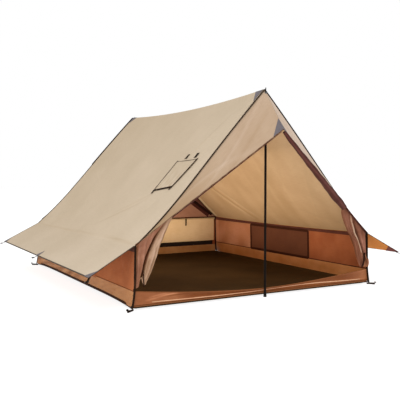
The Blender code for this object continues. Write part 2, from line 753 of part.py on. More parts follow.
def build_poles(materials):
    """Each pole is a rubber foot and three steel tubes that plug together; the top has a spike."""
    bore = POLE_RADIUS - POLE_WALL
    plug = bore - GAP
    for end, end_name in END_NAMES.items():
        place = pole_place(end)
        place.z = CLOTH + GAP if POLE_STAND[end] < 0 else 0
        head = cloth_height(end) - POLE_HEAD_ROOM - place.z
        tip = cloth_height(end) + SPIKE_STAND[end] - place.z
        section = (head - FOOT_SOLE) / POLE_SECTIONS
        cup = POLE_RADIUS + GAP
        foot = [
            (0, 0), (cup + FOOT_WALL, 0), (cup + FOOT_WALL, 0.008), (cup + FOOT_WALL * 0.6, FOOT_HEIGHT),
            (cup, FOOT_HEIGHT), (cup, FOOT_SOLE), (0, FOOT_SOLE),
        ]
        turned(f"{end_name}_pole_foot", foot, place, (0, 0, 1), POLE_SIDES, materials["rubber"])
        base = FOOT_SOLE + GAP
        for name in ("lower", "middle"):
            top = base + section
            profile = [
                (POLE_RADIUS, base), (POLE_RADIUS, top), (plug, top), (plug, top + SPIGOT_LENGTH - 0.003),
                (plug - 0.0015, top + SPIGOT_LENGTH), (plug - POLE_WALL - 0.0015, top + SPIGOT_LENGTH),
                (plug - POLE_WALL - 0.0015, top - 0.004), (bore, top - 0.012), (bore, base),
            ]
            turned(f"{end_name}_pole_{name}", profile, place, (0, 0, 1), POLE_SIDES, materials["steel"])
            base = top + GAP
        cone = head - CONE_HEIGHT
        profile = [
            (0, cone - 0.01), (bore, cone - 0.01), (bore, base), (POLE_RADIUS, base),
            (POLE_RADIUS, cone), (SPIKE_RADIUS, head), (SPIKE_RADIUS, tip - 0.006),
            (SPIKE_RADIUS * 0.4, tip), (0, tip),
        ]
        turned(f"{end_name}_pole_upper", profile, place, (0, 0, 1), POLE_SIDES, materials["steel"])


def main():
    clear_scene()
    materials = make_materials()
    build_floor(materials)
    build_side_walls(materials)
    build_rear_wall(materials)
    build_sill(materials)
    build_roofs(materials)
    build_stove_panel(materials)
    build_visors(materials)
    build_rear_gable(materials)
    build_door_leaves(materials)
    build_edge_webbing(materials)
    build_wing_straps(materials)
    build_peg_straps(materials)
    build_poles(materials)


main()
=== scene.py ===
"""Looks of a two-pole ridge tent: cotton canvas fly with wings, hooded ends, coated walls, poles.

Lengths are in metres in the CAD model's frame: +Z up, the door end towards -Y, the left side -X.
"""

import logging
import math
from dataclasses import dataclass, field
from enum import Enum
from typing import Any, Callable, Sequence

import bmesh
import bpy
import numpy as np
from mathutils import Matrix, Vector


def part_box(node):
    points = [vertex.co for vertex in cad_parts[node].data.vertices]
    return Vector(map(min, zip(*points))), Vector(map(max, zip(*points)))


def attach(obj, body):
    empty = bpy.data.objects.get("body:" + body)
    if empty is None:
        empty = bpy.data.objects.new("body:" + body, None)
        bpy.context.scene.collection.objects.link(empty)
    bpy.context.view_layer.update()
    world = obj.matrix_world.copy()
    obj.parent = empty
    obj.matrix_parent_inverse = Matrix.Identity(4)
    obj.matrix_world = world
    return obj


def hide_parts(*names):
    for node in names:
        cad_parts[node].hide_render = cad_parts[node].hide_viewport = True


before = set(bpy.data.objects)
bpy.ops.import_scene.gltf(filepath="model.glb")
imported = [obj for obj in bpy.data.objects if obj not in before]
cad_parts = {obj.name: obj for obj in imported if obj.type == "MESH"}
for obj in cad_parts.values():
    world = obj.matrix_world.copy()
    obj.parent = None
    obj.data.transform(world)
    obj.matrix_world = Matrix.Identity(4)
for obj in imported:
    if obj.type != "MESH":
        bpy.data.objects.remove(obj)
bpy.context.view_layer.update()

LOG = logging.getLogger("ridge_tent")
# Points or values at many places, or one value for all of them
Grid = np.ndarray | float
Tree = bpy.types.NodeTree
Socket = bpy.types.NodeSocket
Inputs = dict[Any, Any] | None
Pair = tuple[float, float]
Triple = tuple[float, float, float]
Crease = tuple[Pair, Pair, float, float]
TENT = "tent"
# Millimetres in a metre, and the scale at which a wave texture repeats once in a millimetre
MM = 1000.0
ONE_MM_WAVE = 314.0
# How far painted light (above 0) and painted shade (below 0) may lighten or darken a cloth
TONE_RANGE = (-0.55, 1.8)


class Place(Enum):
    """A part of the tent that comes twice, with the sign of its X or Y."""

    @property
    def label(self) -> str:
        """Its word in node names."""
        return self.name.lower()


class Side(Place):
    """The tent's two long sides, with the sign of their X."""

    LEFT = -1
    RIGHT = 1


class End(Place):
    """The tent's two short ends, with the sign of their Y."""

    FRONT = -1
    REAR = 1


def linear(code: str) -> tuple[float, float, float, float]:
    """Turns an sRGB hex colour to linear RGBA.

    Args:
        code: six hex digits.

    Returns:
        The linear colour with alpha 1.
    """
    parts = [int(code[i : i + 2], 16) / 255 for i in (0, 2, 4)]
    return (*(c / 12.92 if c <= 0.04045 else ((c + 0.055) / 1.055) ** 2.4 for c in parts), 1.0)


def wire(tree: Tree, node: bpy.types.Node, links: Inputs = None, values: Inputs = None) -> None:
    """Feeds a node.

    Args:
        tree: the tree that the node is in.
        node: the node.
        links: input socket to the output socket that feeds it.
        values: input socket to its default value.
    """
    for key, value in (values or {}).items():
        node.inputs[key].default_value = value
    for key, socket in (links or {}).items():
        tree.links.new(socket, node.inputs[key])


def add(
    tree: Tree, kind: str, links: Inputs = None, values: Inputs = None, **settings: Any
) -> bpy.types.Node:
    """Adds a node to a tree.

    Args:
        tree: the material's or modifier's node tree.
        kind: the node's type name.
        links: input socket to the output socket that feeds it.
        values: input socket to its default value.
        **settings: the node's own properties.

    Returns:
        The new node.
    """
    node = tree.nodes.new(kind)
    for key, value in settings.items():
        setattr(node, key, value)
    wire(tree, node, links, values)
    return node


def join(tree: Tree, kind: str, operation: str, one: Socket, two: Socket) -> Socket:
    """Joins two outputs with a maths node.

    Args:
        tree: the node tree.
        kind: the maths node's type name.
        operation: what it does.
        one: the first output.
        two: the second output.

    Returns:
        The result's socket.
    """
    return add(tree, kind, {0: one, 1: two}, operation=operation).outputs[0]


def noise(tree: Tree, place: Socket, **values: float) -> Socket:
    """Soft random patches over a place; values are the node's inputs, such as Scale and Detail."""
    return add(tree, "ShaderNodeTexNoise", {"Vector": place}, values).outputs["Fac"]


def ribs(tree: Tree, place: Socket, way: str, pitch_mm: float, **values: float) -> Socket:
    """Even ribs across one direction of a place in metres.

    Args:
        tree: the node tree.
        place: the place's socket.
        way: X or Y.
        pitch_mm: distance from rib to rib.
        **values: the node's other inputs.

    Returns:
        The ribs' height, from 0 to 1.
    """
    values["Scale"] = ONE_MM_WAVE / pitch_mm
    node = add(tree, "ShaderNodeTexWave", {"Vector": place}, values, bands_direction=way)
    return node.outputs["Fac"]


def relief(
    tree: Tree, height: Socket, strength: float, depth: float, under: Socket | None = None
) -> Socket:
    """Turns a height into relief.

    Args:
        tree: the node tree.
        height: the height's socket.
        strength: how strongly the relief takes the light.
        depth: its depth in metres.
        under: relief that it lies on.

    Returns:
        The surface's direction.
    """
    links = {"Height": height} if under is None else {"Height": height, "Normal": under}
    values = {"Strength": strength, "Distance": depth}
    return add(tree, "ShaderNodeBump", links, values).outputs["Normal"]


@dataclass(frozen=True)
class Finish:
    """A surface's name and its two main colours, as sRGB hex."""

    name: str
    colour: str
    light: str

    def material(self) -> bpy.types.Material:
        """Makes the finish's material, once.

        Returns:
            The material.
        """
        known = bpy.data.materials.get(self.name)
        if known:
            return known
        material = bpy.data.materials.new(self.name)
        material.use_nodes = True
        self.paint(material.node_tree, material.node_tree.nodes["Principled BSDF"])
        return material

    def paint(self, tree: Tree, shader: bpy.types.Node) -> None:
        """Adds the nodes that feed the shader. Each kind of finish has its own."""
        raise NotImplementedError

    def blend(self, tree: Tree, share: Socket, low: float = 0.0, high: float = 1.0) -> Socket:
        """Blends from the main colour to the light one.

        Args:
            tree: the node tree.
            share: the pattern that picks between the two.
            low: up to here the main colour.
            high: from here on the light one.

        Returns:
            The colour's socket.
        """
        node = add(tree, "ShaderNodeValToRGB", {"Fac": share})
        stops = node.color_ramp.elements
        stops[0].position, stops[0].color = low, linear(self.colour)
        stops[1].position, stops[1].color = high, linear(self.light)
        return node.outputs["Color"]


@dataclass(frozen=True)
class WovenFinish(Finish):
    """Plain-woven cloth: crossing threads, slubs along them, soft clouds of shade and creases.

    A real thread is about 0.5 mm, too fine to show, so thread_mm draws it coarser. The tone
    attribute lightens or darkens the cloth, the blue most: painted light and shade, and random
    unevenness.
    """

    dark: str
    thread_mm: float = 3.0
    roughness: float = 0.88
    sheen: float = 0.04
    gloss: float = 0.15
    cloud_mm: float = 700.0
    crease_mm: float = 2.0
    crease_size_mm: float = 260.0

    def paint(self, tree: Tree, shader: bpy.types.Node) -> None:
        """Weave and creases as relief; clouds, slubs and the tone attribute as colour.

        Args:
            tree: the material's node tree.
            shader: its shader.
        """
        place = add(tree, "ShaderNodeTexCoord").outputs["UV"]
        warp, weft = (
            ribs(tree, place, way, self.thread_mm, Distortion=0.6, Detail=1.0) for way in "XY"
        )
        weave = join(tree, "ShaderNodeMath", "MULTIPLY", warp, weft)
        long = add(tree, "ShaderNodeMapping", {"Vector": place}, {"Scale": (9.0, 260.0, 1.0)})
        slub = noise(tree, long.outputs[0], Scale=1.0, Detail=2.0, Roughness=0.6)
        cloud = noise(tree, place, Scale=MM / self.cloud_mm, Detail=3.0, Roughness=0.55)
        crease = noise(
            tree, place, Scale=MM / self.crease_size_mm, Detail=4.0, Roughness=0.5, Distortion=0.7
        )
        soiled = add(
            tree, "ShaderNodeMapRange", {"Value": slub},
            {"From Min": 0.45, "From Max": 0.8, "To Min": 0.0, "To Max": 0.35},
        )
        base = add(
            tree, "ShaderNodeMix",
            {0: soiled.outputs["Result"], 6: self.blend(tree, cloud, 0.32, 0.70)},
            {7: linear(self.dark)}, data_type="RGBA",
        )
        # The tone attribute carries painted light and shade, with some random unevenness
        tone = add(tree, "ShaderNodeAttribute", attribute_name="tone")
        shift = add(
            tree, "ShaderNodeVectorMath", {0: tone.outputs["Fac"]},
            {1: (0.8, 1.05, 1.5), 2: (1.0, 1.0, 1.0)}, operation="MULTIPLY_ADD",
        )
        colour = join(tree, "ShaderNodeVectorMath", "MULTIPLY", base.outputs[2], shift.outputs[0])
        folds = relief(tree, crease, 0.55, self.crease_mm / MM)
        threads = relief(tree, weave, 0.35, self.thread_mm / (4 * MM), folds)
        wire(tree, shader, {"Base Color": colour, "Normal": threads}, {
            "Roughness": self.roughness, "Sheen Weight": self.sheen, "Sheen Roughness": 0.6,
            "Specular IOR Level": self.gloss,
        })


@dataclass(frozen=True)
class TapeFinish(Finish):
    """Narrow woven tape: ribs across its run, a little fuzz and hardly any gloss."""

    rib_mm: float = 4.0
    roughness: float = 0.7

    def paint(self, tree: Tree, shader: bpy.types.Node) -> None:
        """Ribs and fuzz, both as colour and as relief.

        Args:
            tree: the material's node tree.
            shader: its shader.
        """
        place = add(tree, "ShaderNodeTexCoord").outputs["UV"]
        across = ribs(tree, place, "X", self.rib_mm, Distortion=0.4)
        fuzz = noise(tree, place, Scale=90.0, Detail=3.0)
        mixed = join(tree, "ShaderNodeMath", "MULTIPLY", across, fuzz)
        wire(
            tree, shader,
            {"Base Color": self.blend(tree, mixed), "Normal": relief(tree, mixed, 0.4, 0.6 / MM)},
            {"Roughness": self.roughness, "Specular IOR Level": 0.04},
        )


@dataclass(frozen=True)
class HardFinish(Finish):
    """A moulded, cast or coated hard surface: fine grain, rubbed patches in the light colour."""

    roughness: float
    metallic: float = 0.0
    grain_mm: float = 1.2
    grain_depth_mm: float = 0.05
    gloss: float = 0.5

    def paint(self, tree: Tree, shader: bpy.types.Node) -> None:
        """Rubbed patches as colour and polish, and grain as relief.

        Args:
            tree: the material's node tree.
            shader: its shader.
        """
        place = add(tree, "ShaderNodeTexCoord").outputs["Object"]
        grain = noise(tree, place, Scale=MM / self.grain_mm / 4, Detail=2.0)
        long = add(tree, "ShaderNodeMapping", {"Vector": place}, {"Scale": (60.0, 60.0, 7.0)})
        rub = noise(tree, long.outputs[0], Scale=1.0, Detail=4.0, Roughness=0.65)
        polish = add(
            tree, "ShaderNodeMapRange", {"Value": rub},
            {"To Min": self.roughness + 0.08, "To Max": self.roughness - 0.08},
        )
        wire(tree, shader, {
            "Base Color": self.blend(tree, rub, 0.45, 0.85), "Roughness": polish.outputs["Result"],
            "Normal": relief(tree, grain, 0.3, self.grain_depth_mm / MM),
        }, {"Metallic": self.metallic, "Specular IOR Level": self.gloss})


WHITE = linear("FFFFFF")
# Cotton canvas, plain woven and proofed: dull, beige outside, golden where light comes through;
# the golden inside and the amber wing underside are painted daylight shining through the cloth
CANVAS_OUT = WovenFinish("beige_cotton_canvas", "C7B49A", "CFBCA3", "B39E83")
CANVAS_IN = WovenFinish("golden_canvas_lining_side", "B29168", "BF9E76", "99754C", cloud_mm=500.0)
CANVAS_WING = WovenFinish("amber_canvas_underside", "C67824", "D28632", "9E5818", cloud_mm=500.0)
# Visor and gable: the same weave in tan; their dark and mauve insides are painted shade
VISOR_OUT = WovenFinish("tan_cotton_canvas", "B99D82", "C5AC93", "A08466")
VISOR_IN = WovenFinish("dark_red_brown_lining", "4E2A1D", "63382A", "381C13", cloud_mm=300.0)
GABLE_IN = WovenFinish("gable_inside_painted_shade", "986C55", "AA7D65", "75503E", cloud_mm=300.0)
# Low walls: rust-brown canvas in broad soft clouds, paler where light falls in
WALL = WovenFinish("rust_brown_canvas", "924D27", "A76038", "703517", cloud_mm=420.0)
WALL_PALE = WovenFinish("mauve_brown_canvas", "A76A46", "B87C58", "84502F", cloud_mm=420.0)
WALL_OUT = WovenFinish("brown_wall_canvas", "9A562A", "AC683A", "76401C", cloud_mm=380.0)
# The tan vent cover is painted daylight shining through its canvas
COVER_TAN = WovenFinish("tan_cover_canvas", "DAB98B", "E4C79C", "B28F60", cloud_mm=300.0)
# Door leaves: small clouds, so that the tight folds look worn; the tan one is painted light,
# and the dark roll and the mauve and red ones are painted shade under the visor
LEAF = WovenFinish("door_canvas_painted_light", "A68064", "B89679", "8A6854", cloud_mm=240.0)
LEAF_ROLL = WovenFinish("dark_door_lining", "45211A", "5C3329", "2A120C", cloud_mm=180.0)
LEAF_RED = WovenFinish("door_canvas_painted_shade", "8C5A42", "A8755A", "673B27", cloud_mm=160.0)
LEAF_MAUVE = WovenFinish("mauve_brown_door_canvas", "7C4A34", "95624A", "562E1E", cloud_mm=160.0)
LEAF_RUST = WovenFinish("rust_door_canvas", "905A3C", "A36C4A", "663A22", cloud_mm=160.0)
# Seam band and patches: darker than what they are sewn on, with a tighter weave; the band is
# the walls' eave hem, its dark colour partly painted shade under the eave
BAND = WovenFinish("brown_seam_band", "4E2517", "5E301F", "36180D", cloud_mm=200.0)
UNDER = WovenFinish(
    "dark_red_patch_cloth", "5E2419", "73301F", "401610", thread_mm=2.5, cloud_mm=160.0
)
PATCH = WovenFinish("grey_patch_cloth", "6C6568", "7B7478", "554F52", thread_mm=2.5, cloud_mm=160.0)
# Coated mud-wall cloth: finer and a little glossy, so that its slack folds catch the light
COATED = {"thread_mm": 2.4, "cloud_mm": 260.0}
SLACK = {**COATED, "sheen": 0.02, "crease_mm": 6.0, "crease_size_mm": 140.0}
MUD = WovenFinish("coated_rust_cloth", "985A36", "AE7049", "77401F", roughness=0.48, **SLACK)
MUD_SIDE = WovenFinish(
    "coated_orange_brown_cloth", "AE6E3A", "C2824E", "885128", roughness=0.48, **SLACK
)
MUD_OUT = WovenFinish(
    "coated_tan_brown_cloth", "A66E3C", "BC8853", "824C28", roughness=0.55, **SLACK
)
MUD_REAR = WovenFinish("coated_tan_cloth", "B07C4A", "C6935F", "8D5C33", roughness=0.5, **COATED)
# A paler copy of the coated cloth: the painted highlight on the sill's long fold
MUD_LIT = WovenFinish(
    "coated_cloth_worn_pale", "BC8E68", "CB9F7A", "A67A56", roughness=0.48, **COATED
)
# Coated groundsheet: nearly black, coarse and without gloss, with wide soft creases
FLOOR_CLOTH = WovenFinish(
    "coated_brown_groundsheet", "342514", "43301A", "231709", thread_mm=4.0, roughness=0.8,
    sheen=0.0, gloss=0.02, crease_mm=5.0, crease_size_mm=330.0, cloud_mm=900.0,
)
# Insect net: coarse and dull. Glass cloth: grey, with the slight gloss of its fibres
NET = WovenFinish("brown_insect_net", "5A3019", "6B3C21", "3E1D0D", thread_mm=5.0, roughness=0.95)
NIGHT_NET = WovenFinish(
    "black_insect_net", "1A110C", "271A13", "0D0806", thread_mm=5.0, roughness=0.95
)
GLASS_CLOTH = WovenFinish("grey_glass_cloth", "8D8A84", "A09D97", "6F6C66", roughness=0.5)
# Webbing, bindings and seam tapes: ribbed, and dark where they frame the lighter canvas
TAPE = TapeFinish("dark_brown_webbing", "20140C", "322216")
GREY_TAPE = TapeFinish("grey_brown_binding", "4B4036", "62564A")
HEM = TapeFinish("tan_brown_hem", "5A3D2A", "7A5A44")
HEM_RUST = TapeFinish("rust_hem", "7A4628", "A06A45")
JAMB = TapeFinish("brown_window_tape", "35180B", "4A2817")
SEAM = TapeFinish("dark_seam_tape", "24100A", "3A1E12", rib_mm=3.0)
TAN_SEAM = TapeFinish("tan_seam_tape", "B4946A", "C8A880", rib_mm=3.0)
RUST_SEAM = TapeFinish("rust_seam_tape", "6E3A1E", "8A5430", rib_mm=3.0)
LIGHT_SEAM = TapeFinish("cream_seam_tape", "CDB288", "DDC69E", rib_mm=6.0)
EDGE = TapeFinish("dark_brown_edge_binding", "2E1A10", "46291A")
# Dark strips that stand for the visors' shaded insides along their edges: painted shade
SHADE_STRIP = TapeFinish("dark_painted_shade_strip", "44221A", "55302A", rib_mm=12.0)
DARK_SHADE_STRIP = TapeFinish("black_painted_shade_strip", "26120D", "351B14", rib_mm=12.0)
THREAD = TapeFinish("brown_thread", "4A3A2C", "6A5642", rib_mm=1.0)
# Powder-coated steel tube: dark with a slight gloss. Zinc plate: bright. Rubber and nylon: dull
STEEL = HardFinish("powder_coated_steel", "120D0A", "221A15", 0.6, gloss=0.06)
ZINC = HardFinish("zinc_plated_steel", "8B8C8E", "A7A8AA", 0.35, metallic=1.0)
RUBBER = HardFinish("moulded_rubber", "161412", "24211E", 0.8, grain_mm=0.8, gloss=0.1)
NYLON = HardFinish("moulded_nylon", "1E1B19", "35302C", 0.5, grain_mm=0.8)


@dataclass(frozen=True)
class TentShape:
    """The tent's own sizes and the surfaces that follow from them, as in the CAD source."""

    half_width: float = 1.50
    half_depth: float = 1.75
    ridge: float = 2.20
    ridge_sag: float = 0.06
    eave: float = 0.62
    eave_sag: float = 0.02
    eave_inset: float = 0.015
    bow: float = 0.032
    bow_power: float = 2.2
    wing_reach: float = 0.475
    wing_drop: float = 0.255
    wing_flare: float = 0.063
    visor_reach: float = 0.344
    visor_drop: float = 0.449
    floor_rise: float = 0.024
    mud_top: float = 0.19
    front_rim: float = 0.022
    rear_rim: float = 0.012
    rear_mud_top: float = 0.15
    cloth: float = 0.004

    @property
    def eave_half(self) -> float:
        """Half width at the eave."""
        return self.half_width - self.eave_inset

    @property
    def slope_length(self) -> float:
        """Length of the slope's chord from ridge to eave."""
        return math.hypot(self.eave_half, self.ridge - self.eave)

    @property
    def end_face(self) -> float:
        """Outer face of the end panels."""
        return self.half_depth + self.cloth + 0.0003

    @property
    def strip_foot(self) -> float:
        """Height of the mud walls' lower edges where the floor lies on the ground."""
        return self.floor_rise + 0.0043

    def slope(self, share: Grid) -> tuple[Grid, Grid]:
        """The slope's profile.

        Args:
            share: share of the way from ridge to eave.

        Returns:
            Half width and height.
        """
        bow = self.bow * np.sin(np.pi * unit(share) ** self.bow_power)
        fall = self.ridge - self.eave
        across = self.eave_half * share - bow * fall / self.slope_length
        return across, self.ridge - fall * share - bow * self.eave_half / self.slope_length

    def roof(self, side: Side, along: Grid, share: Grid) -> Grid:
        """Points of the roof's upper face: share 0 is the ridge, 1 the eave and 2 the wing's edge.

        Args:
            side: which slope.
            along: -1 at the front edge to 1 at the rear edge.
            share: the way down.

        Returns:
            Points, with X, Y and Z last.
        """
        slack = 1 - along**2
        out = unit(share - 1)
        down = np.minimum(share, 1)
        across, up = self.slope(down)
        sag = self.ridge_sag * (1 - down) + self.eave_sag * down * (1 - out)
        x = across + self.wing_reach * out
        y = along * (self.half_depth + self.wing_flare * out)
        z = up - self.wing_drop * out - sag * slack
        return xyz(side.value * x, y, z)

    def visor_edge(self, end: End, share: Grid) -> Grid:
        """Points of the visor's lower edge.

        Args:
            end: which end of the tent.
            share: 0 at the visor's tip, 1 or -1 at the eave corners.

        Returns:
            The points.
        """
        rest = 1 - np.abs(share)
        y = end.value * (self.end_face + self.visor_reach * rest)
        z = self.eave + (self.ridge - self.visor_drop - self.eave) * rest
        return xyz(self.eave_half * share, y, z)

    def wall_x(self, height: Grid) -> Grid:
        """Half width of the side walls' outer face at a height."""
        return self.half_width - self.eave_inset * height / self.eave

    def rim(self, x: Grid, y: Grid) -> Grid:
        """How far the taut walls hold the floor's edge off the ground.

        Args:
            x: place across the tent.
            y: place along it.

        Returns:
            The height at each point.
        """
        near_side = unit((np.abs(x) - self.half_width + 0.22) / 0.22) ** 2
        near_end = unit((np.abs(y) - self.half_depth + 0.18) / 0.18) ** 2
        side = near_side * (0.009 + 0.029 * (1 - np.minimum(1, np.abs(y) / self.half_depth) ** 6))
        end = np.where(y < 0, self.front_rim, self.rear_rim) * near_end
        return np.maximum(side * np.where(x > 0, 0.4, 1.0), end)

    def flare(self, z: Grid) -> Grid:
        """How far the pegged corners are drawn outward at a height."""
        return 0.026 * unit(1 - z / 0.2) ** 1.5

    def sill(self, x: Grid) -> Grid:
        """Height of the door sill's slack top edge."""
        return 0.088 + (self.mud_top - 0.088) * np.minimum(1, np.abs(x) / self.half_width) ** 1.7


SHAPE = TentShape()


def unit(x: Grid) -> Grid:
    """Holds values between 0 and 1."""
    return np.clip(x, 0, 1)


def bell(x: Grid, centre: Grid, width: float) -> Grid:
    """A smooth hump that is 1 at its centre and fades over its width to each side."""
    return np.exp(-(((x - centre) / width) ** 2))


def xyz(x: Grid, y: Grid, z: Grid) -> Grid:
    """Points from their coordinates, some of which may be single numbers."""
    return np.stack(np.broadcast_arrays(x, y, z), -1)


def lines(start: float, stop: float, count: int, *extra: float) -> Grid:
    """Even stations from start to stop, with extra ones put in between."""
    return np.unique(np.round(np.concatenate([np.linspace(start, stop, count + 1), extra]), 6))


def rolling(x: Grid, y: Grid, size: float, seed: int) -> Grid:
    """Smooth unevenness between about -1 and 1.

    Args:
        x: first coordinate in metres.
        y: second coordinate in metres.
        size: usual distance between crests, in metres.
        seed: picks the pattern.

    Returns:
        The unevenness at each point.
    """
    random = np.random.default_rng(seed)
    total = np.zeros_like(x + y)
    for _ in range(7):
        angle, phase = random.uniform(0, np.pi), random.uniform(0, 2 * np.pi)
        rate = 2 * np.pi / (size * random.uniform(0.7, 1.6))
        total += np.sin((x * np.cos(angle) + y * np.sin(angle)) * rate + phase)
    return total / 3.2


def creases(total: Grid, x: Grid, y: Grid, *rows: Crease) -> Grid:
    """Adds soft creases, each along a straight line and fading towards both of its ends.

    Args:
        total: the lift or tone that they are added to.
        x: first coordinate in metres.
        y: second coordinate in metres.
        *rows: start, end, reach to each side and height of each; a hollow's height is negative.

    Returns:
        The sum.
    """
    for start, end, width, height in rows:
        run = np.array(end, float) - np.array(start, float)
        length = np.hypot(*run)
        way = run / length
        dx, dy = x - start[0], y - start[1]
        t = unit((dx * way[0] + dy * way[1]) / length)
        near = np.hypot(dx - t * run[0], dy - t * run[1])
        fade = np.sin(np.pi * unit(t * 0.9 + 0.05)) ** 0.7
        total = total + height * fade * bell(near, 0, width)
    return total


def link(name: str, data: Any) -> bpy.types.Object:
    """Makes an object and puts it in the scene.

    Args:
        name: its name.
        data: its mesh, lamp or camera.

    Returns:
        The object.
    """
    obj = bpy.data.objects.new(name, data)
    bpy.context.scene.collection.objects.link(obj)
    return obj


def smooth(obj: bpy.types.Object, sharp: float) -> None:
    """Shades a piece smooth, except at edges sharper than an angle in degrees."""
    obj.data.shade_smooth()
    obj.data.set_sharp_from_angle(angle=math.radians(sharp))


def mesh_object(
    name: str,
    points: Grid,
    faces: Sequence[Sequence[int]],
    uvs: Grid,
    slots: Sequence[int],
    materials: Sequence[bpy.types.Material],
) -> bpy.types.Object:
    """Makes an object whose place is in its mesh.

    Args:
        name: the piece's name.
        points: vertex positions.
        faces: vertex indices of each face.
        uvs: one flat position in metres for each vertex.
        slots: material index of each face.
        materials: the piece's materials.

    Returns:
        The linked object.
    """
    mesh = bpy.data.meshes.new(name)
    mesh.from_pydata([tuple(p) for p in points], [], [tuple(f) for f in faces])
    layer = mesh.uv_layers.new(name="flat")
    index = np.empty(len(mesh.loops), np.int32)
    mesh.loops.foreach_get("vertex_index", index)
    layer.data.foreach_set("uv", np.asarray(uvs, np.float32)[index].ravel())
    mesh.polygons.foreach_set("material_index", np.asarray(slots, np.int32))
    for material in materials:
        mesh.materials.append(material)
    obj = link(name, mesh)
    smooth(obj, 40)
    mesh.update()
    return obj


def flat_size(points: Grid) -> tuple[Grid, Grid]:
    """Lays a grid of points flat, for UVs.

    Args:
        points: the grid.

    Returns:
        The mean run in metres along its columns and along its rows.
    """
    across = np.linalg.norm(np.diff(points, axis=1), axis=2).mean(0)
    down = np.linalg.norm(np.diff(points, axis=0), axis=2).mean(1)
    return np.concatenate([[0], across.cumsum()]), np.concatenate([[0], down.cumsum()])


def direction(vector: Grid) -> Grid:
    """A vector, or a grid of them, at length 1."""
    return vector / np.linalg.norm(vector, axis=-1, keepdims=True)


def normals(grid: Grid, outward: Sequence[float]) -> Grid:
    """Unit normals of a grid of points.

    Args:
        grid: the points.
        outward: rough direction that the normals look in.

    Returns:
        One normal for each point.
    """
    normal = np.cross(np.gradient(grid, axis=1), np.gradient(grid, axis=0))
    normal /= np.maximum(np.linalg.norm(normal, axis=2, keepdims=True), 1e-12)
    return normal if (normal * np.array(outward)).sum() > 0 else -normal


def dress(obj: bpy.types.Object, body: str, node: str | None = None) -> bpy.types.Object:
    """Makes a piece ride on a body and hides the CAD node that it stands for.

    Args:
        obj: the piece.
        body: the body that it moves with.
        node: the CAD node that it stands for, if there is one.

    Returns:
        The piece.
    """
    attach(obj, body)
    if node:
        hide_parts(node)
    LOG.info("%s rides on %s", obj.name, body)
    return obj


def closed_faces(
    kept: Grid, front: Grid, back: Grid, forward: bool
) -> tuple[list[tuple[int, ...]], list[int]]:
    """Faces of a sheet with two sides and a rim; the inner side's points follow the outer side's.

    Args:
        kept: which cells of the grid are cloth.
        front: material index of each cell's outer face.
        back: material index of each cell's inner face.
        forward: whether the grid's own order turns the faces outward.

    Returns:
        The faces and the material index of each.
    """
    cells = kept.shape
    columns = cells[1] + 1
    count = (cells[0] + 1) * columns
    faces, slots = [], []
    for i, j in zip(*np.nonzero(kept)):
        a = i * columns + j
        b, c, d = a + 1, a + columns + 1, a + columns
        rings = [(a, b, c, d), (d + count, c + count, b + count, a + count)]
        for m, n, p, q in ((i - 1, j, a, b), (i, j + 1, b, c), (i + 1, j, c, d), (i, j - 1, d, a)):
            if not (0 <= m < cells[0] and 0 <= n < cells[1] and kept[m, n]):
                rings.append((q, p, p + count, q + count))
        faces += [ring if forward else ring[::-1] for ring in rings]
        slots += [int(front[i, j]), int(back[i, j])] + [int(front[i, j])] * (len(rings) - 2)
    return faces, slots


def cloth(
    name: str,
    points: Grid,
    outward: Sequence[float],
    slot: str,
    outer: Sequence[Finish],
    inner: Sequence[Finish] | None = None,
    *,
    node: str | None = None,
    body: str = TENT,
    pick_outer: Grid | None = None,
    pick_inner: Grid | None = None,
    thickness: float = 0.0016,
    keep: Grid | None = None,
    lift: Grid | None = None,
    tone: Grid = 0.0,
    tone_inner: Grid = 0.0,
) -> bpy.types.Object:
    """A closed sheet of cloth with an outer and an inner face.

    Args:
        name: the piece's name.
        points: a grid of points on the outer face.
        outward: rough direction that the outer face looks in.
        slot: not used.
        outer: finishes of the outer face.
        inner: finishes of the inner face, or the outer ones.
        node: the CAD node that it stands for.
        body: the body that it moves with.
        pick_outer: for each cell, which of the outer finishes it has.
        pick_inner: for each cell, which of the inner finishes it has.
        thickness: the sheet's thickness.
        keep: which cells of the grid are cloth; the rest is cut out.
        lift: how far each point moves outward, for folds.
        tone: how far the outer face is painted lighter (above 0) or darker (below 0) at each point,
            mostly painted light and shade, with some random unevenness.
        tone_inner: the same for the inner face.

    Returns:
        The piece.
    """
    inner = inner or outer
    rows, columns = points.shape[:2]
    cells = (rows - 1, columns - 1)
    if lift is not None:
        points = points + normals(points, outward) * lift[..., None]
    normal = normals(points, outward)
    u, v = flat_size(points)
    uv = np.stack(np.meshgrid(u, v), -1).reshape(-1, 2)
    i, j = rows // 2, columns // 2
    turn = np.cross(points[i, j] - points[i, j - 1], points[i, j] - points[i - 1, j])
    front, back = (np.zeros(cells, int) if p is None else p for p in (pick_outer, pick_inner))
    kept = np.ones(cells, bool) if keep is None else keep
    faces, slots = closed_faces(kept, front, back + len(outer), float(turn @ normal[i, j]) > 0)
    both = np.concatenate([points.reshape(-1, 3), (points - normal * thickness).reshape(-1, 3)])
    used = np.unique(np.concatenate([np.array(f) for f in faces]))
    renumber = np.full(len(both), -1)
    renumber[used] = np.arange(len(used))
    faces = [tuple(int(renumber[k]) for k in f) for f in faces]
    materials = [f.material() for f in (*outer, *inner)]
    obj = mesh_object(name, both[used], faces, np.concatenate([uv, uv])[used], slots, materials)
    tones = [np.broadcast_to(t, (rows, columns)).ravel() for t in (tone, tone_inner)]
    values = np.clip(np.concatenate(tones)[used], *TONE_RANGE).astype(np.float32)
    obj.data.attributes.new("tone", "FLOAT", "POINT").data.foreach_set("value", values)
    return dress(obj, body, node)


def recalculate(obj: bpy.types.Object) -> None:
    """Turns a closed mesh's faces outward.

    Args:
        obj: the piece.
    """
    bm = bmesh.new()
    bm.from_mesh(obj.data)
    bmesh.ops.recalc_face_normals(bm, faces=bm.faces)
    bm.to_mesh(obj.data)
    bm.free()


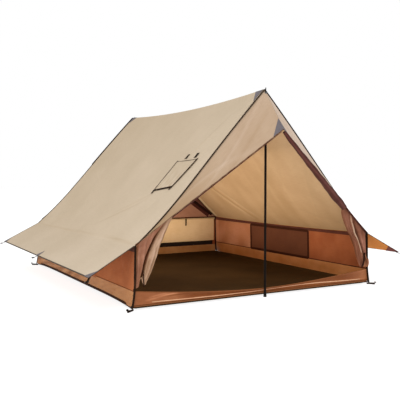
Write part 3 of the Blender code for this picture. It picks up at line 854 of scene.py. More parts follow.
def group_tree(name: str, grown: Callable[[Tree, Any], Socket], **inputs: Any) -> Tree:
    """A Geometry Nodes tree, made once, whose result becomes plain mesh with one material.

    Args:
        name: the tree's name.
        grown: adds the tree's own nodes and returns its shape; it gets the tree and its inputs.
        **inputs: the tree's numbers after the geometry, with their default values.

    Returns:
        The tree.
    """
    tree = bpy.data.node_groups.get(name)
    if tree:
        return tree
    tree = bpy.data.node_groups.new(name, "GeometryNodeTree")
    for way in ("INPUT", "OUTPUT"):
        tree.interface.new_socket("Geometry", in_out=way, socket_type="NodeSocketGeometry")
    for label, value in inputs.items():
        socket = tree.interface.new_socket(label, in_out="INPUT", socket_type="NodeSocketFloat")
        socket.default_value = value
    tree.interface.new_socket("Material", in_out="INPUT", socket_type="NodeSocketMaterial")
    start = add(tree, "NodeGroupInput").outputs
    real = add(tree, "GeometryNodeRealizeInstances", {"Geometry": grown(tree, start)})
    links = {"Geometry": real.outputs[0], "Material": start["Material"]}
    painted = add(tree, "GeometryNodeSetMaterial", links)
    add(tree, "NodeGroupOutput", {"Geometry": painted.outputs[0]})
    return tree


def swept(tree: Tree, start: Any) -> Socket:
    """A tape swept along a path, its width lying along the points' own directions.

    Args:
        tree: the tree.
        start: the tree's inputs.

    Returns:
        The tape, with its flat place in metres as UVs.
    """
    curve = add(tree, "GeometryNodeMeshToCurve", {"Mesh": start["Geometry"]})
    way = add(
        tree, "GeometryNodeInputNamedAttribute", {}, {"Name": "across"}, data_type="FLOAT_VECTOR"
    )
    turned = add(
        tree, "GeometryNodeSetCurveNormal",
        {"Curve": curve.outputs[0], "Normal": way.outputs["Attribute"]}, mode="FREE",
    )
    section = add(
        tree, "GeometryNodeCurvePrimitiveQuadrilateral",
        {"Width": start["Width"], "Height": start["Thickness"]},
    )
    corner = add(tree, "ShaderNodeMath", {0: start["Thickness"]}, {1: 0.45}, operation="MULTIPLY")
    soft = add(
        tree, "GeometryNodeFilletCurve",
        {"Curve": section.outputs[0], "Radius": corner.outputs[0]}, {"Count": 2}, mode="POLY",
    )
    runs = []
    for geometry in (turned.outputs[0], soft.outputs[0]):
        place = add(tree, "GeometryNodeSplineParameter")
        keep = add(tree, "GeometryNodeCaptureAttribute", {"Geometry": geometry})
        keep.capture_items.new("FLOAT", "run")
        wire(tree, keep, {"run": place.outputs["Length"]})
        runs.append(keep.outputs)
    tube = add(
        tree, "GeometryNodeCurveToMesh",
        {"Curve": runs[0]["Geometry"], "Profile Curve": runs[1]["Geometry"]}, {"Fill Caps": True},
    )
    flat = add(tree, "ShaderNodeCombineXYZ", {"X": runs[0]["run"], "Y": runs[1]["run"]})
    return add(
        tree, "GeometryNodeStoreNamedAttribute",
        {"Geometry": tube.outputs[0], "Value": flat.outputs[0]}, {"Name": "flat"},
        data_type="FLOAT2", domain="CORNER",
    ).outputs[0]


def sewn(tree: Tree, start: Any) -> Socket:
    """Stitches set along a path at even steps.

    Args:
        tree: the tree.
        start: the tree's inputs.

    Returns:
        The stitches as instances.
    """
    curve = add(tree, "GeometryNodeMeshToCurve", {"Mesh": start["Geometry"]})
    even = add(
        tree, "GeometryNodeResampleCurve",
        {"Curve": curve.outputs[0], "Length": start["Step"]}, mode="LENGTH",
    )
    grain = add(tree, "GeometryNodeMeshUVSphere", {}, {"Segments": 6, "Rings": 4, "Radius": 0.5})
    size = add(
        tree, "ShaderNodeCombineXYZ",
        {"X": start["Thickness"], "Y": start["Thickness"], "Z": start["Length"]},
    )
    way = add(tree, "GeometryNodeInputTangent")
    turn = add(tree, "FunctionNodeAlignRotationToVector", {"Vector": way.outputs[0]}, axis="Z")
    return add(
        tree, "GeometryNodeInstanceOnPoints",
        {
            "Points": even.outputs[0], "Instance": grain.outputs["Mesh"],
            "Rotation": turn.outputs[0], "Scale": size.outputs[0],
        },
    ).outputs[0]


def grow(
    name: str,
    paths: Sequence[Grid],
    tree: Tree,
    finish: Finish,
    across: Sequence[Any] | None = None,
    **inputs: float,
) -> bpy.types.Object:
    """Runs a tree on paths and leaves a plain mesh.

    Args:
        name: the piece's name.
        paths: one or more rows of points.
        tree: the Geometry Nodes tree.
        finish: what the piece is made of.
        across: for each path, the direction of a tape's width: one for all points or one each.
        **inputs: values of the tree's named inputs.

    Returns:
        The piece.
    """
    points = np.concatenate([np.asarray(p, float) for p in paths])
    edges, first = [], 0
    for path in paths:
        edges += [(first + i, first + i + 1) for i in range(len(path) - 1)]
        first += len(path)
    mesh = bpy.data.meshes.new(name + "_path")
    mesh.from_pydata([tuple(p) for p in points], edges, [])
    if across is not None:
        ways = [np.broadcast_to(np.asarray(a, float), np.shape(p)) for a, p in zip(across, paths)]
        mesh.attributes.new("across", "FLOAT_VECTOR", "POINT").data.foreach_set(
            "vector", np.concatenate(ways).astype(np.float32).ravel()
        )
    source = link(name + "_path", mesh)
    modifier = source.modifiers.new("grow", "NODES")
    modifier.node_group = tree
    values = {"Material": finish.material(), **inputs}
    for item in tree.interface.items_tree:
        if item.in_out == "INPUT" and item.name in values:
            modifier[item.identifier] = values[item.name]
    graph = bpy.context.evaluated_depsgraph_get()
    result = bpy.data.meshes.new_from_object(source.evaluated_get(graph))
    bpy.data.objects.remove(source)
    bpy.data.meshes.remove(mesh)
    result.name = name
    for extra in ("across", "run"):
        if extra in result.attributes:
            result.attributes.remove(result.attributes[extra])
    obj = link(name, result)
    recalculate(obj)
    smooth(obj, 45)
    return obj


def tape(
    name: str,
    paths: Sequence[Grid],
    across: Sequence[Any],
    size: Pair,
    finish: Finish,
    node: str | None = None,
    *,
    body: str = TENT,
) -> bpy.types.Object:
    """Tapes along paths that run through their middles.

    Args:
        name: the piece's name.
        paths: one or more rows of points.
        across: for each path, the direction of the tape's width.
        size: the tape's width and thickness.
        finish: what it is made of.
        node: the CAD node that it stands for.
        body: the body that it moves with.

    Returns:
        The piece.
    """
    tree = group_tree("tape_along_path", swept, Width=0.025, Thickness=0.002)
    piece = grow(name, paths, tree, finish, across, Width=size[0], Thickness=size[1])
    return dress(piece, body, node)


def stitches(name: str, paths: Sequence[Grid], body: str = TENT) -> bpy.types.Object:
    """Rows of stitches along paths. A real stitch is 3 mm; these are longer so that they show.

    Args:
        name: the piece's name.
        paths: one or more rows of points.
        body: the body that it moves with.

    Returns:
        The piece.
    """
    size = {"Step": 0.014, "Length": 0.014 * 0.62, "Thickness": 0.0016}
    tree = group_tree("stitches_along_path", sewn, **size)
    return dress(grow(name, paths, tree, THREAD, **size), body)


def hits(values: Grid, low: float, high: float) -> Grid:
    """Which cells between neighbouring stations lie within low and high."""
    middles = (values[1:] + values[:-1]) / 2
    return (middles > low) & (middles < high)


def band_of(rows: Grid, columns: Grid, low: float, high: float) -> Grid:
    """Picks finish 1 for the cells whose row lies within low and high, and 0 for the rest."""
    return np.repeat(hits(rows, low, high)[:, None].astype(int), len(columns) - 1, 1)


@dataclass(frozen=True)
class StoveOpening:
    """The heat-proof panel sewn into the left slope, its weather flap and the straps above it."""

    front: float = 0.36
    top: float = 1.01
    width: float = 0.32
    height: float = 0.34
    flap_front: float = 0.244
    flap_width: float = 0.469
    flap_top: float = 0.975
    flap_height: float = 0.426
    shear: float = 0.049
    taper: float = 0.041
    slant: float = 0.026
    flap_thickness: float = 0.0036
    lift: float = 0.0012
    binding: float = 0.014
    inset: float = 0.055
    strap: Pair = (0.055, 0.003)
    strap_length: float = 0.065
    strap_shares: Pair = (0.2, 0.65)
    loop: Pair = (0.026, 0.0022)

    def place(self, back: Grid, down: Grid, lift: Grid = 0.0) -> Grid:
        """Points on the left slope.

        Args:
            back: distance back from its front edge.
            down: distance down from the ridge.
            lift: height above the slope.

        Returns:
            The points.
        """
        along = (back - SHAPE.half_depth) / SHAPE.half_depth
        share = down / SHAPE.slope_length
        here = SHAPE.roof(Side.LEFT, along, share)
        step = 0.01
        normal = direction(np.cross(
            SHAPE.roof(Side.LEFT, along + step, share) - here,
            SHAPE.roof(Side.LEFT, along, share + step) - here,
        ))
        return here + np.where(normal[..., 2:] < 0, -normal, normal) * np.asarray(lift)[..., None]

    def on_flap(self, across: Grid, down: Grid, lift: float) -> Grid:
        """Points of the flap, which narrows and slants towards its foot.

        Args:
            across: from 0 at the front edge to 1 at the rear edge.
            down: from 0 at the top edge to 1 at the foot.
            lift: height above the slope.

        Returns:
            The points.
        """
        turn = 2 * across - 1
        back = self.flap_front + self.flap_width * across + (self.shear - turn * self.taper) * down
        return self.place(back, self.flap_top + (self.flap_height + turn * self.slant) * down, lift)

    def hole(self, alongs: Grid, shares: Grid) -> Grid:
        """Which cells of the left slope the panel takes the place of.

        Args:
            alongs: the slope's stations from front (-1) to rear (1).
            shares: its stations from ridge (0) to eave (1).

        Returns:
            True for each such cell.
        """
        backs = (alongs + 1) * SHAPE.half_depth
        downs = shares * SHAPE.slope_length
        return np.outer(
            hits(downs, self.top, self.top + self.height),
            hits(backs, self.front, self.front + self.width),
        )

    def build(self) -> None:
        """Builds the panel, the flap with its binding and stitches, the straps and the loops."""
        backs = np.linspace(self.front, self.front + self.width, 25)
        downs = np.linspace(self.top, self.top + self.height, 25)
        panel = cloth("stove_panel_cloth", self.place(*np.meshgrid(backs, downs)), (-1, 0, 1),
                      "heat_proof_cloth", [GLASS_CLOTH], node="stove_panel")
        across, down = np.meshgrid(np.linspace(0, 1, 41), np.linspace(0, 1, 41))
        slack = 0.0012 * rolling(across * 0.43, down * 0.43, 0.18, 5) - 0.0008
        ripples = 0.12 * rolling(across * 0.4, down * 0.15, 0.06, 9) * down
        flap = cloth(
            "stove_flap_cloth", self.on_flap(across, down, self.lift + self.flap_thickness),
            (-1, 0, 1), "roof_canvas", [CANVAS_OUT], node="stove_flap", body="stove_flap",
            lift=np.minimum(slack, 0), thickness=0.002, tone=ripples - 0.02,
        )
        bindings = self.build_bindings()
        self.build_straps()
        self.build_loops()

    def build_bindings(self) -> list[bpy.types.Object]:
        """Builds the bindings along the flap's four edges and the stitches beside them.

        Returns:
            The pieces.
        """
        height = self.lift + self.flap_thickness + 0.0009
        t, step = np.linspace(0, 1, 25), 0.02
        edge = self.binding / 2 / self.flap_width
        pieces = []
        for name, across, down, turn, size, finish in (
            ("front", edge, t, (step, 0), (0.02, 0.003), TAPE),
            ("rear", 1 - edge, t, (step, 0), (self.binding, 0.0018), TAPE),
            ("foot", t, 0.98, (0, step), (0.024, 0.004), TAPE),
            ("top", t, 0.035, (0, step), (0.008, 0.0018), GREY_TAPE),
        ):
            path = self.on_flap(across, down, height)
            way = self.on_flap(across + turn[0], down + turn[1], height) - path
            pieces.append(
                tape(f"stove_flap_{name}_binding", [path], [way], size, finish, body="stove_flap")
            )
        seams = [
            self.on_flap(*place, height) for place in (
                (0.05 + 0.9 * t, 1 - self.inset), (1 - self.inset, t),
                (self.inset, t),
            )
        ]
        return [*pieces, stitches("stove_flap_stitches", seams, "stove_flap")]

    def build_straps(self) -> None:
        """Builds the two short straps that hold the flap up when it is rolled."""
        t = np.linspace(0, 1, 13)
        down = self.flap_top - 0.018 - self.strap_length * t
        for name, share in zip(("front", "rear"), self.strap_shares):
            back = self.flap_front + self.flap_width * share
            path = self.place(back, down, 0.0045 + 0.002 * np.sin(np.pi * t))
            way = self.place(back + 0.01, down, 0.0045) - path
            node = f"stove_strap_{name}"
            strap = tape(f"{node}_webbing", [path], [way], self.strap, TAPE, node)

    def build_loops(self) -> None:
        """Builds the short loops that hang from the flap's lower corners."""
        t = np.linspace(0, 1, 9)
        for name, across in (("front", 0.04), ("rear", 0.96)):
            path = self.on_flap(across, 0.99 + 0.09 * t, 0.0065)
            way = self.on_flap(across + 0.02, 0.99 + 0.09 * t, 0.0065) - path
            tape(f"stove_toggle_loop_{name}", [path], [way], self.loop, TAPE, body="stove_flap")


@dataclass(frozen=True)
class Fly:
    """The roof: a slope and a wing on each side, sewn together along the ridge."""

    rows: int = 96
    wing_rows: int = 24
    columns: int = 140
    edge_line: float = 1.7632
    corner_line: float = 1.7655
    rear_rim_line: float = 1.757
    edge_width: float = 0.038
    lining: Pair = (0.022, 0.0016)
    ridge_binding: Pair = (0.03, 0.012)
    hem: Pair = (0.016, 0.0034)
    rear_seam: Pair = (0.085, 0.002)
    stove: StoveOpening = field(default_factory=StoveOpening)

    def folds(self, side: Side, along: Grid, share: Grid) -> Grid:
        """The slope's seams and slack folds.

        Args:
            side: which slope.
            along: from front (-1) to rear (1).
            share: from ridge (0) to eave (1) and the wing's edge (2).

        Returns:
            The lift at each point.
        """
        back, down = (along + 1) * SHAPE.half_depth, share * SHAPE.slope_length
        calm = unit(np.minimum(down, 0.25) / 0.25)
        lift = 0.0016 * rolling(back, down, 0.9, 11 + side.value) * calm
        lift += 0.0006 * rolling(back, down * 0.5, 0.28, 23 + side.value) * calm
        low = SHAPE.slope_length
        drawn = 0.012 if side is Side.RIGHT else 0.0
        lift = creases(
            lift, back, down,
            ((0.02, 0.1), (1.25, 1.9), 0.03, 0.006),
            ((0.05, 0.6), (0.7, 2.1), 0.035, -0.005),
            ((3.45, 0.15), (2.3, 1.9), 0.04, 0.005),
            ((0.0, low), (1.1, 1.75), 0.03, 0.006),
            ((3.5, low), (2.6, 1.8), 0.03, 0.006),
            ((1.75, low + 0.45), (1.75, 1.9), 0.05, 0.005),
            ((0.0, low + 0.5), (0.9, low + 0.06), 0.03, 0.006),
            ((3.5, low + 0.5), (2.6, low + 0.06), 0.03, 0.006),
            ((2.86, 1.32), (2.26, 2.08), 0.022, drawn),
            ((2.66, 1.34), (2.06, 2.08), 0.022, drawn),
        )
        edge = np.minimum(back, 2 * SHAPE.half_depth - back)
        return lift * unit(edge / 0.12)

    def bleach(self, along: Grid, share: Grid) -> Grid:
        """Painted light and shade: lighter down towards the wings' edges and towards the front, and
        darker lines along a few creases as painted shade.

        Args:
            along: from front (-1) to rear (1).
            share: from ridge (0) to eave (1) and the wing's edge (2).

        Returns:
            The outer face's tone at each point.
        """
        low = SHAPE.slope_length
        return creases(
            0.05 * np.clip(share - 1, -1, 1) - 0.05 * along,
            (along + 1) * SHAPE.half_depth, share * low,
            ((0.296, 0.305), (0.49, 0.87), 0.014, -0.10),
            ((0.49, 0.87), (0.72, 1.54), 0.014, -0.10),
            ((0.72, 1.54), (1.54, 1.99), 0.016, -0.12),
            ((0.02, low - 0.02), (0.9, low - 0.06), 0.016, -0.14),
            ((0.9, low - 0.06), (3.48, low + 0.01), 0.014, -0.09),
            ((0.66, 1.44), (1.30, 1.78), 0.02, -0.06),
        )

    def glow(self, along: Grid, share: Grid) -> Grid:
        """Daylight seen through the cloth: lighter near the ridge, with long lit folds.

        Args:
            along: from front (-1) to rear (1).
            share: from ridge (0) to eave (1) and the wing's edge (2).

        Returns:
            The inner face's tone at each point.
        """
        back, down = (along + 1) * SHAPE.half_depth, share * SHAPE.slope_length
        tone = 0.46 * (0.62 - unit(share)) + 0.12 * along**2 - 0.03
        tone = creases(
            tone + 0.03 * rolling(back * 1.8, down * 0.3, 0.5, 37), back, down,
            ((2.86, 1.32), (2.26, 2.08), 0.022, 0.30), ((2.66, 1.34), (2.06, 2.08), 0.018, 0.26),
            ((2.76, 1.33), (2.16, 2.08), 0.020, -0.20), ((1.0, 0.3), (1.25, 1.9), 0.035, 0.07),
            ((1.5, 0.3), (1.6, 1.9), 0.03, 0.05), ((0.7, 0.5), (0.95, 1.9), 0.03, 0.05),
        )
        front = 0.44 * unit(-along - 0.5) - 0.1 * bell(along, -0.15, 0.35)
        return np.where(share > 1, 0.0, tone) + front * unit((0.8 - share) / 0.4)

    def build_slope(self, side: Side) -> None:
        """Builds one slope with its wing.

        Args:
            side: which slope.
        """
        stove = self.stove
        backs = (stove.front, stove.front + stove.width)
        downs = (stove.top, stove.top + stove.height)
        alongs = lines(-1, 1, self.columns, *(b / SHAPE.half_depth - 1 for b in backs))
        shares = np.concatenate([
            lines(0, 1, self.rows, *(d / SHAPE.slope_length for d in downs)),
            np.linspace(1, 2, self.wing_rows + 1)[1:],
        ])
        along, share = np.meshgrid(alongs, shares)
        points = SHAPE.roof(side, along, share)
        points[0, :, 0] = side.value * 0.0002
        roof = cloth(
            f"roof_{side.label}_cloth", points, (side.value, 0, 1), "roof_canvas", [CANVAS_OUT],
            [CANVAS_IN, CANVAS_WING], node=f"roof_{side.label}",
            pick_inner=band_of(shares, alongs, 1, 3),
            keep=~stove.hole(alongs, shares) if side is Side.LEFT else None,
            lift=self.folds(side, along, share), tone=self.bleach(along, share),
            tone_inner=self.glow(along, share),
        )

    def edge_path(self, end: End) -> Grid:
        """The end edge of both slopes, from one floor corner over the ridge to the other.

        Args:
            end: which end of the tent.

        Returns:
            The path of its webbing.
        """
        across, up = SHAPE.slope(np.linspace(1, 0, 49))
        heights = np.linspace(SHAPE.floor_rise + 0.001, SHAPE.eave, 13)[:-1]
        x = np.concatenate([-SHAPE.wall_x(heights) - SHAPE.flare(heights), -across])
        z = np.concatenate([heights, up])
        x, z = np.concatenate([x, -x[-2::-1]]), np.concatenate([z, z[-2::-1]])
        path = xyz(x, end.value * self.edge_line, z)
        return path + direction(np.cross((0, 1, 0), np.gradient(path, axis=0))) * 0.0016

    def build_edges(self) -> None:
        """Builds the webbing along both end edges and down the corners, with its stitches."""
        for end, thick in ((End.FRONT, 0.0026), (End.REAR, 0.005)):
            path = self.edge_path(end) - (0, end.value * 0.006, 0)
            size = (self.edge_width, thick)
            web = tape(f"{end.label}_edge_tape", [path], [(0, 1, 0)], size, TAPE,
                       f"{end.label}_edge_webbing")
            rows = [path + (0, off, thick / 2) for off in (-0.015, 0.015)]
            stitches(f"{end.label}_edge_stitches", rows)
        hang = np.array([-0.606, 0, -0.795])
        # A dark strip under the front visor's right edge is painted shade: the visor's shaded
        # inside
        lining = SHAPE.visor_edge(End.FRONT, np.linspace(0.70, 0.99, 31)) + hang * 0.011
        tape("front_edge_lining_right", [lining - (0, 0.0035, 0)], [hang], self.lining, SHADE_STRIP)
        rise = np.linspace(SHAPE.floor_rise + 0.001, SHAPE.eave - 0.004, 25)
        for side, width in ((Side.LEFT, 0.017), (Side.RIGHT, 0.005)):
            x = side.value * (SHAPE.wall_x(rise) + SHAPE.flare(rise) - 0.007)
            path = xyz(x, -self.corner_line, rise)
            tape(f"front_corner_binding_{side.label}", [path], [(1, 0, 0)], (width, 0.002), TAPE)
        share = np.concatenate([np.linspace(0.46, 0.01, 40), -np.linspace(0.01, 0.46, 40)])
        across, up = SHAPE.slope(np.abs(share))
        path = xyz(-np.sign(share) * across, self.rear_rim_line, up + 0.007)
        tape("rear_ridge_binding", [path], [(0, 1, 0)], self.ridge_binding, TAPE)

    def build_hems(self) -> None:
        """Builds the hem binding along the wings' edges and the pale seam inside the rear edge."""
        shift = np.array([0, 0.006, 0])
        for side in Side:
            ends = [SHAPE.roof(side, end.value, np.linspace(1, 2, 9)) for end in End]
            low, upper = (SHAPE.roof(side, np.linspace(-1, 1, 61), share) for share in (1.996, 1.9))
            tape(f"wing_hem_{side.label}", [low + (0, 0, 0.0006), ends[0] + shift, ends[1] - shift],
                 [low - upper, (0, 1, 0), (0, 1, 0)], self.hem, GREY_TAPE)
            rear = SHAPE.roof(side, 0.962, np.linspace(0.02, 0.985, 61))
            tape(f"roof_rear_seam_{side.label}", [rear - (0, 0, 0.006)], [(0, 1, 0)],
                 self.rear_seam, LIGHT_SEAM)

    def patch(
        self,
        name: str,
        side: Side,
        corners: Sequence[Pair],
        finish: Finish = PATCH,
        height: float = 0.0024,
    ) -> None:
        """Sews a reinforcing patch onto the fly.

        Args:
            name: the piece's name without its side.
            side: which slope it is on.
            corners: three corners (back, share of the way down).
            finish: what it is made of.
            height: how far its outer face is above the fly's; below the cloth if negative.
        """
        (b0, s0), (b1, s1), (b2, s2) = corners
        u, v = np.meshgrid(np.linspace(0, 1, 15), np.linspace(0.02, 1, 15))
        along = (b0 + v * ((b1 - b0) + u * (b2 - b1))) / SHAPE.half_depth - 1
        share = s0 + v * ((s1 - s0) + u * (s2 - s1))
        points = SHAPE.roof(side, along, share)
        points = points + normals(points, (side.value, 0, 1)) * height
        piece = cloth(f"{name}_{side.label}", points, (side.value, 0, 1), "webbing", [finish],
                      lift=self.folds(side, along, share))

    def build(self) -> None:
        """Builds the whole fly."""
        for side in Side:
            self.build_slope(side)
            for name, corners, *made in (
                ("ridge_patch_front", [(0.012, 0.0), (0.15, 0.0), (0.012, 0.083)]),
                ("ridge_patch_rear", [(3.488, 0.0), (3.36, 0.0), (3.488, 0.06)]),
                ("wing_patch_front", [(0.0, 2.0), (0.12, 2.0), (0.0, 1.78)]),
                ("wing_patch_rear", [(3.5, 2.0), (3.38, 2.0), (3.5, 1.78)]),
                ("wing_under_patch", [(0.0, 2.0), (0.2, 2.0), (0.0, 1.68)], UNDER, -0.0035),
                ("wing_patch_middle", [(1.75, 1.8), (1.80, 2.0), (1.70, 2.0)]),
            ):
                self.patch(name, side, corners, *made)
        self.build_edges()
        self.build_hems()
        self.stove.build()


@dataclass(frozen=True)
class Hood:
    """The visor at each end, and the gable panel that closes the rear one."""

    rows: int = 40
    half_columns: int = 56
    visor_depth: float = 0.57
    patch_share: float = 0.075
    patch_rise: float = 0.27
    hem: Pair = (0.011, 0.0034)
    grommet: Pair = (0.0065, 0.0022)
    grommet_radius: float = 0.0085
    gable_rise: float = 1.131
    lining: Pair = (0.1, 0.003)
    dark_lining: Pair = (0.055, 0.003)

    def build_visor(self, end: End) -> None:
        """Builds one visor with its hem.

        Args:
            end: which end of the tent.
        """
        share, t = np.meshgrid(
            lines(-1, 1, 2 * self.half_columns), np.linspace(0, 1, self.rows + 1)
        )
        across, up = SHAPE.slope(np.abs(share))
        top = xyz(np.sign(share) * across, end.value * SHAPE.end_face, up)
        points = top + (SHAPE.visor_edge(end, share) - top) * t[..., None]
        lift = creases(
            np.zeros_like(share), share * 1.5, t * 0.5,
            ((0, 0), (0.9, 0.5), 0.03, 0.008), ((0, 0.175), (0.6, 0.5), 0.03, -0.007),
            ((0, 0), (-0.9, 0.5), 0.03, 0.008), ((0, 0.175), (-0.6, 0.5), 0.03, -0.007),
            ((-0.225, 0.5), (-1.125, 0.1), 0.03, 0.008), ((0.225, 0.5), (1.125, 0.1), 0.03, 0.008),
        )
        lift *= unit(np.minimum(1 - np.abs(share), 0.1) / 0.1)
        lift *= unit(np.minimum(t, 1 - t) / 0.08) * unit(np.abs(share) / 0.05)
        # Painted light and shade: lighter on the creases' ridges and darker in their hollows,
        # lighter in the middle and darker towards the sides and the foot; on the front visor the
        # right half is painted lighter, as lit, and the far left darker
        tone = lift * 12 + 0.06 * (0.5 - np.abs(share)) - 0.05 * t
        if end is End.FRONT:
            tone = tone + 0.44 * unit(share / 0.04) - 0.2 * unit((-share - 0.3) / 0.5)
        visor = cloth(f"{end.label}_visor_cloth", points, (0, end.value, 0), "visor_canvas",
                      [VISOR_OUT], [VISOR_IN], node=f"{end.label}_visor", lift=lift, tone=tone)
        edge = SHAPE.visor_edge(end, np.linspace(-1, 1, 81))
        way = points[-2][np.linspace(0, points.shape[1] - 1, 81).astype(int)] - edge
        path = edge + (0, end.value * 0.0002, 0.004)
        hem = tape(f"{end.label}_visor_hem", [path], [way], self.hem, HEM)

    def build_tip(self) -> None:
        """Builds the grey patch on the front visor's tip and the grommet round the pole's spike."""
        tip = SHAPE.visor_edge(End.FRONT, 0.0)
        ridge = np.array([0, -SHAPE.end_face, SHAPE.ridge])
        reach = np.linspace(0, 1, 9)[:, None]
        rows = []
        for v in np.linspace(0.02, 1, 13):
            middle = tip + (ridge - tip) * self.patch_rise * v
            share = self.patch_share * v
            left, right = (SHAPE.visor_edge(End.FRONT, a) for a in (-share, share))
            halves = left + (middle - left) * reach, right + (middle - right) * reach
            rows.append(np.concatenate([halves[0], halves[1][::-1][1:]]))
        points = np.array(rows)
        points = points + normals(points, (0, -1, 0)) * 0.0024
        patch = cloth("visor_tip_patch", points, (0, -1, 0), "webbing", [PATCH])
        low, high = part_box("front_pole_upper")
        y = ((low + high) / 2).y
        down = SHAPE.visor_drop / SHAPE.visor_reach
        angle = np.linspace(0, 2 * np.pi, 33)
        ways = xyz(np.cos(angle), np.sin(angle), np.sin(angle) * down)
        centre = (0, y, SHAPE.ridge + (y + SHAPE.end_face) * down + 0.0026)
        tape("front_spike_grommet", [centre + self.grommet_radius * ways], [ways], self.grommet,
             ZINC)

    def build_gable(self) -> None:
        """Builds the rear gable, which leans out to the rear visor's tip."""
        t, s = np.meshgrid(np.linspace(0, 1, 49), np.linspace(-1, 1, 57), indexing="ij")
        rise = unit((t - 0.012) / 0.988) * 0.9894
        z = np.where(t < 0.012, SHAPE.eave - 0.018, SHAPE.eave + self.gable_rise * rise)
        x = (SHAPE.eave_half * (1 - rise) - 0.0009) * s
        slack = 0.004 * rolling(x, z, 0.5, 41) * np.sin(np.pi * t) * (1 - s**2)
        gable = cloth(
            "rear_gable_cloth", xyz(x, SHAPE.end_face + SHAPE.visor_reach * rise, z), (0, 1, 0),
            "visor_canvas", [VISOR_OUT], [GABLE_IN], node="rear_gable", lift=slack,
        )
        rise = np.linspace(0.028, 0.975, 41)
        paths, ways = [], []
        for side in Side:
            edge = xyz(
                side.value * (SHAPE.eave_half * (1 - rise) - 0.002),
                SHAPE.end_face + SHAPE.visor_reach * rise - 0.004,
                SHAPE.eave + self.gable_rise * rise,
            )
            plane = (0, self.gable_rise, -SHAPE.visor_reach)
            ways.append(direction(np.cross(np.gradient(edge, axis=0), plane)))
            paths.append(edge - (side.value * 0.075, 0, 0))
        # Dark strips inside along both sloping edges are painted shade: the rear visor's shaded
        # inside
        lining = tape("rear_gable_lining", paths, ways, self.lining, SHADE_STRIP)
        dark = tape("rear_gable_edge_lining", [p * (1.04, 1, 1) - (0, 0.002, 0) for p in paths],
                    ways, self.dark_lining, DARK_SHADE_STRIP)

    def build(self) -> None:
        """Builds both visors, the tip's patch and the gable."""
        for end in End:
            self.build_visor(end)
        self.build_tip()
        self.build_gable()


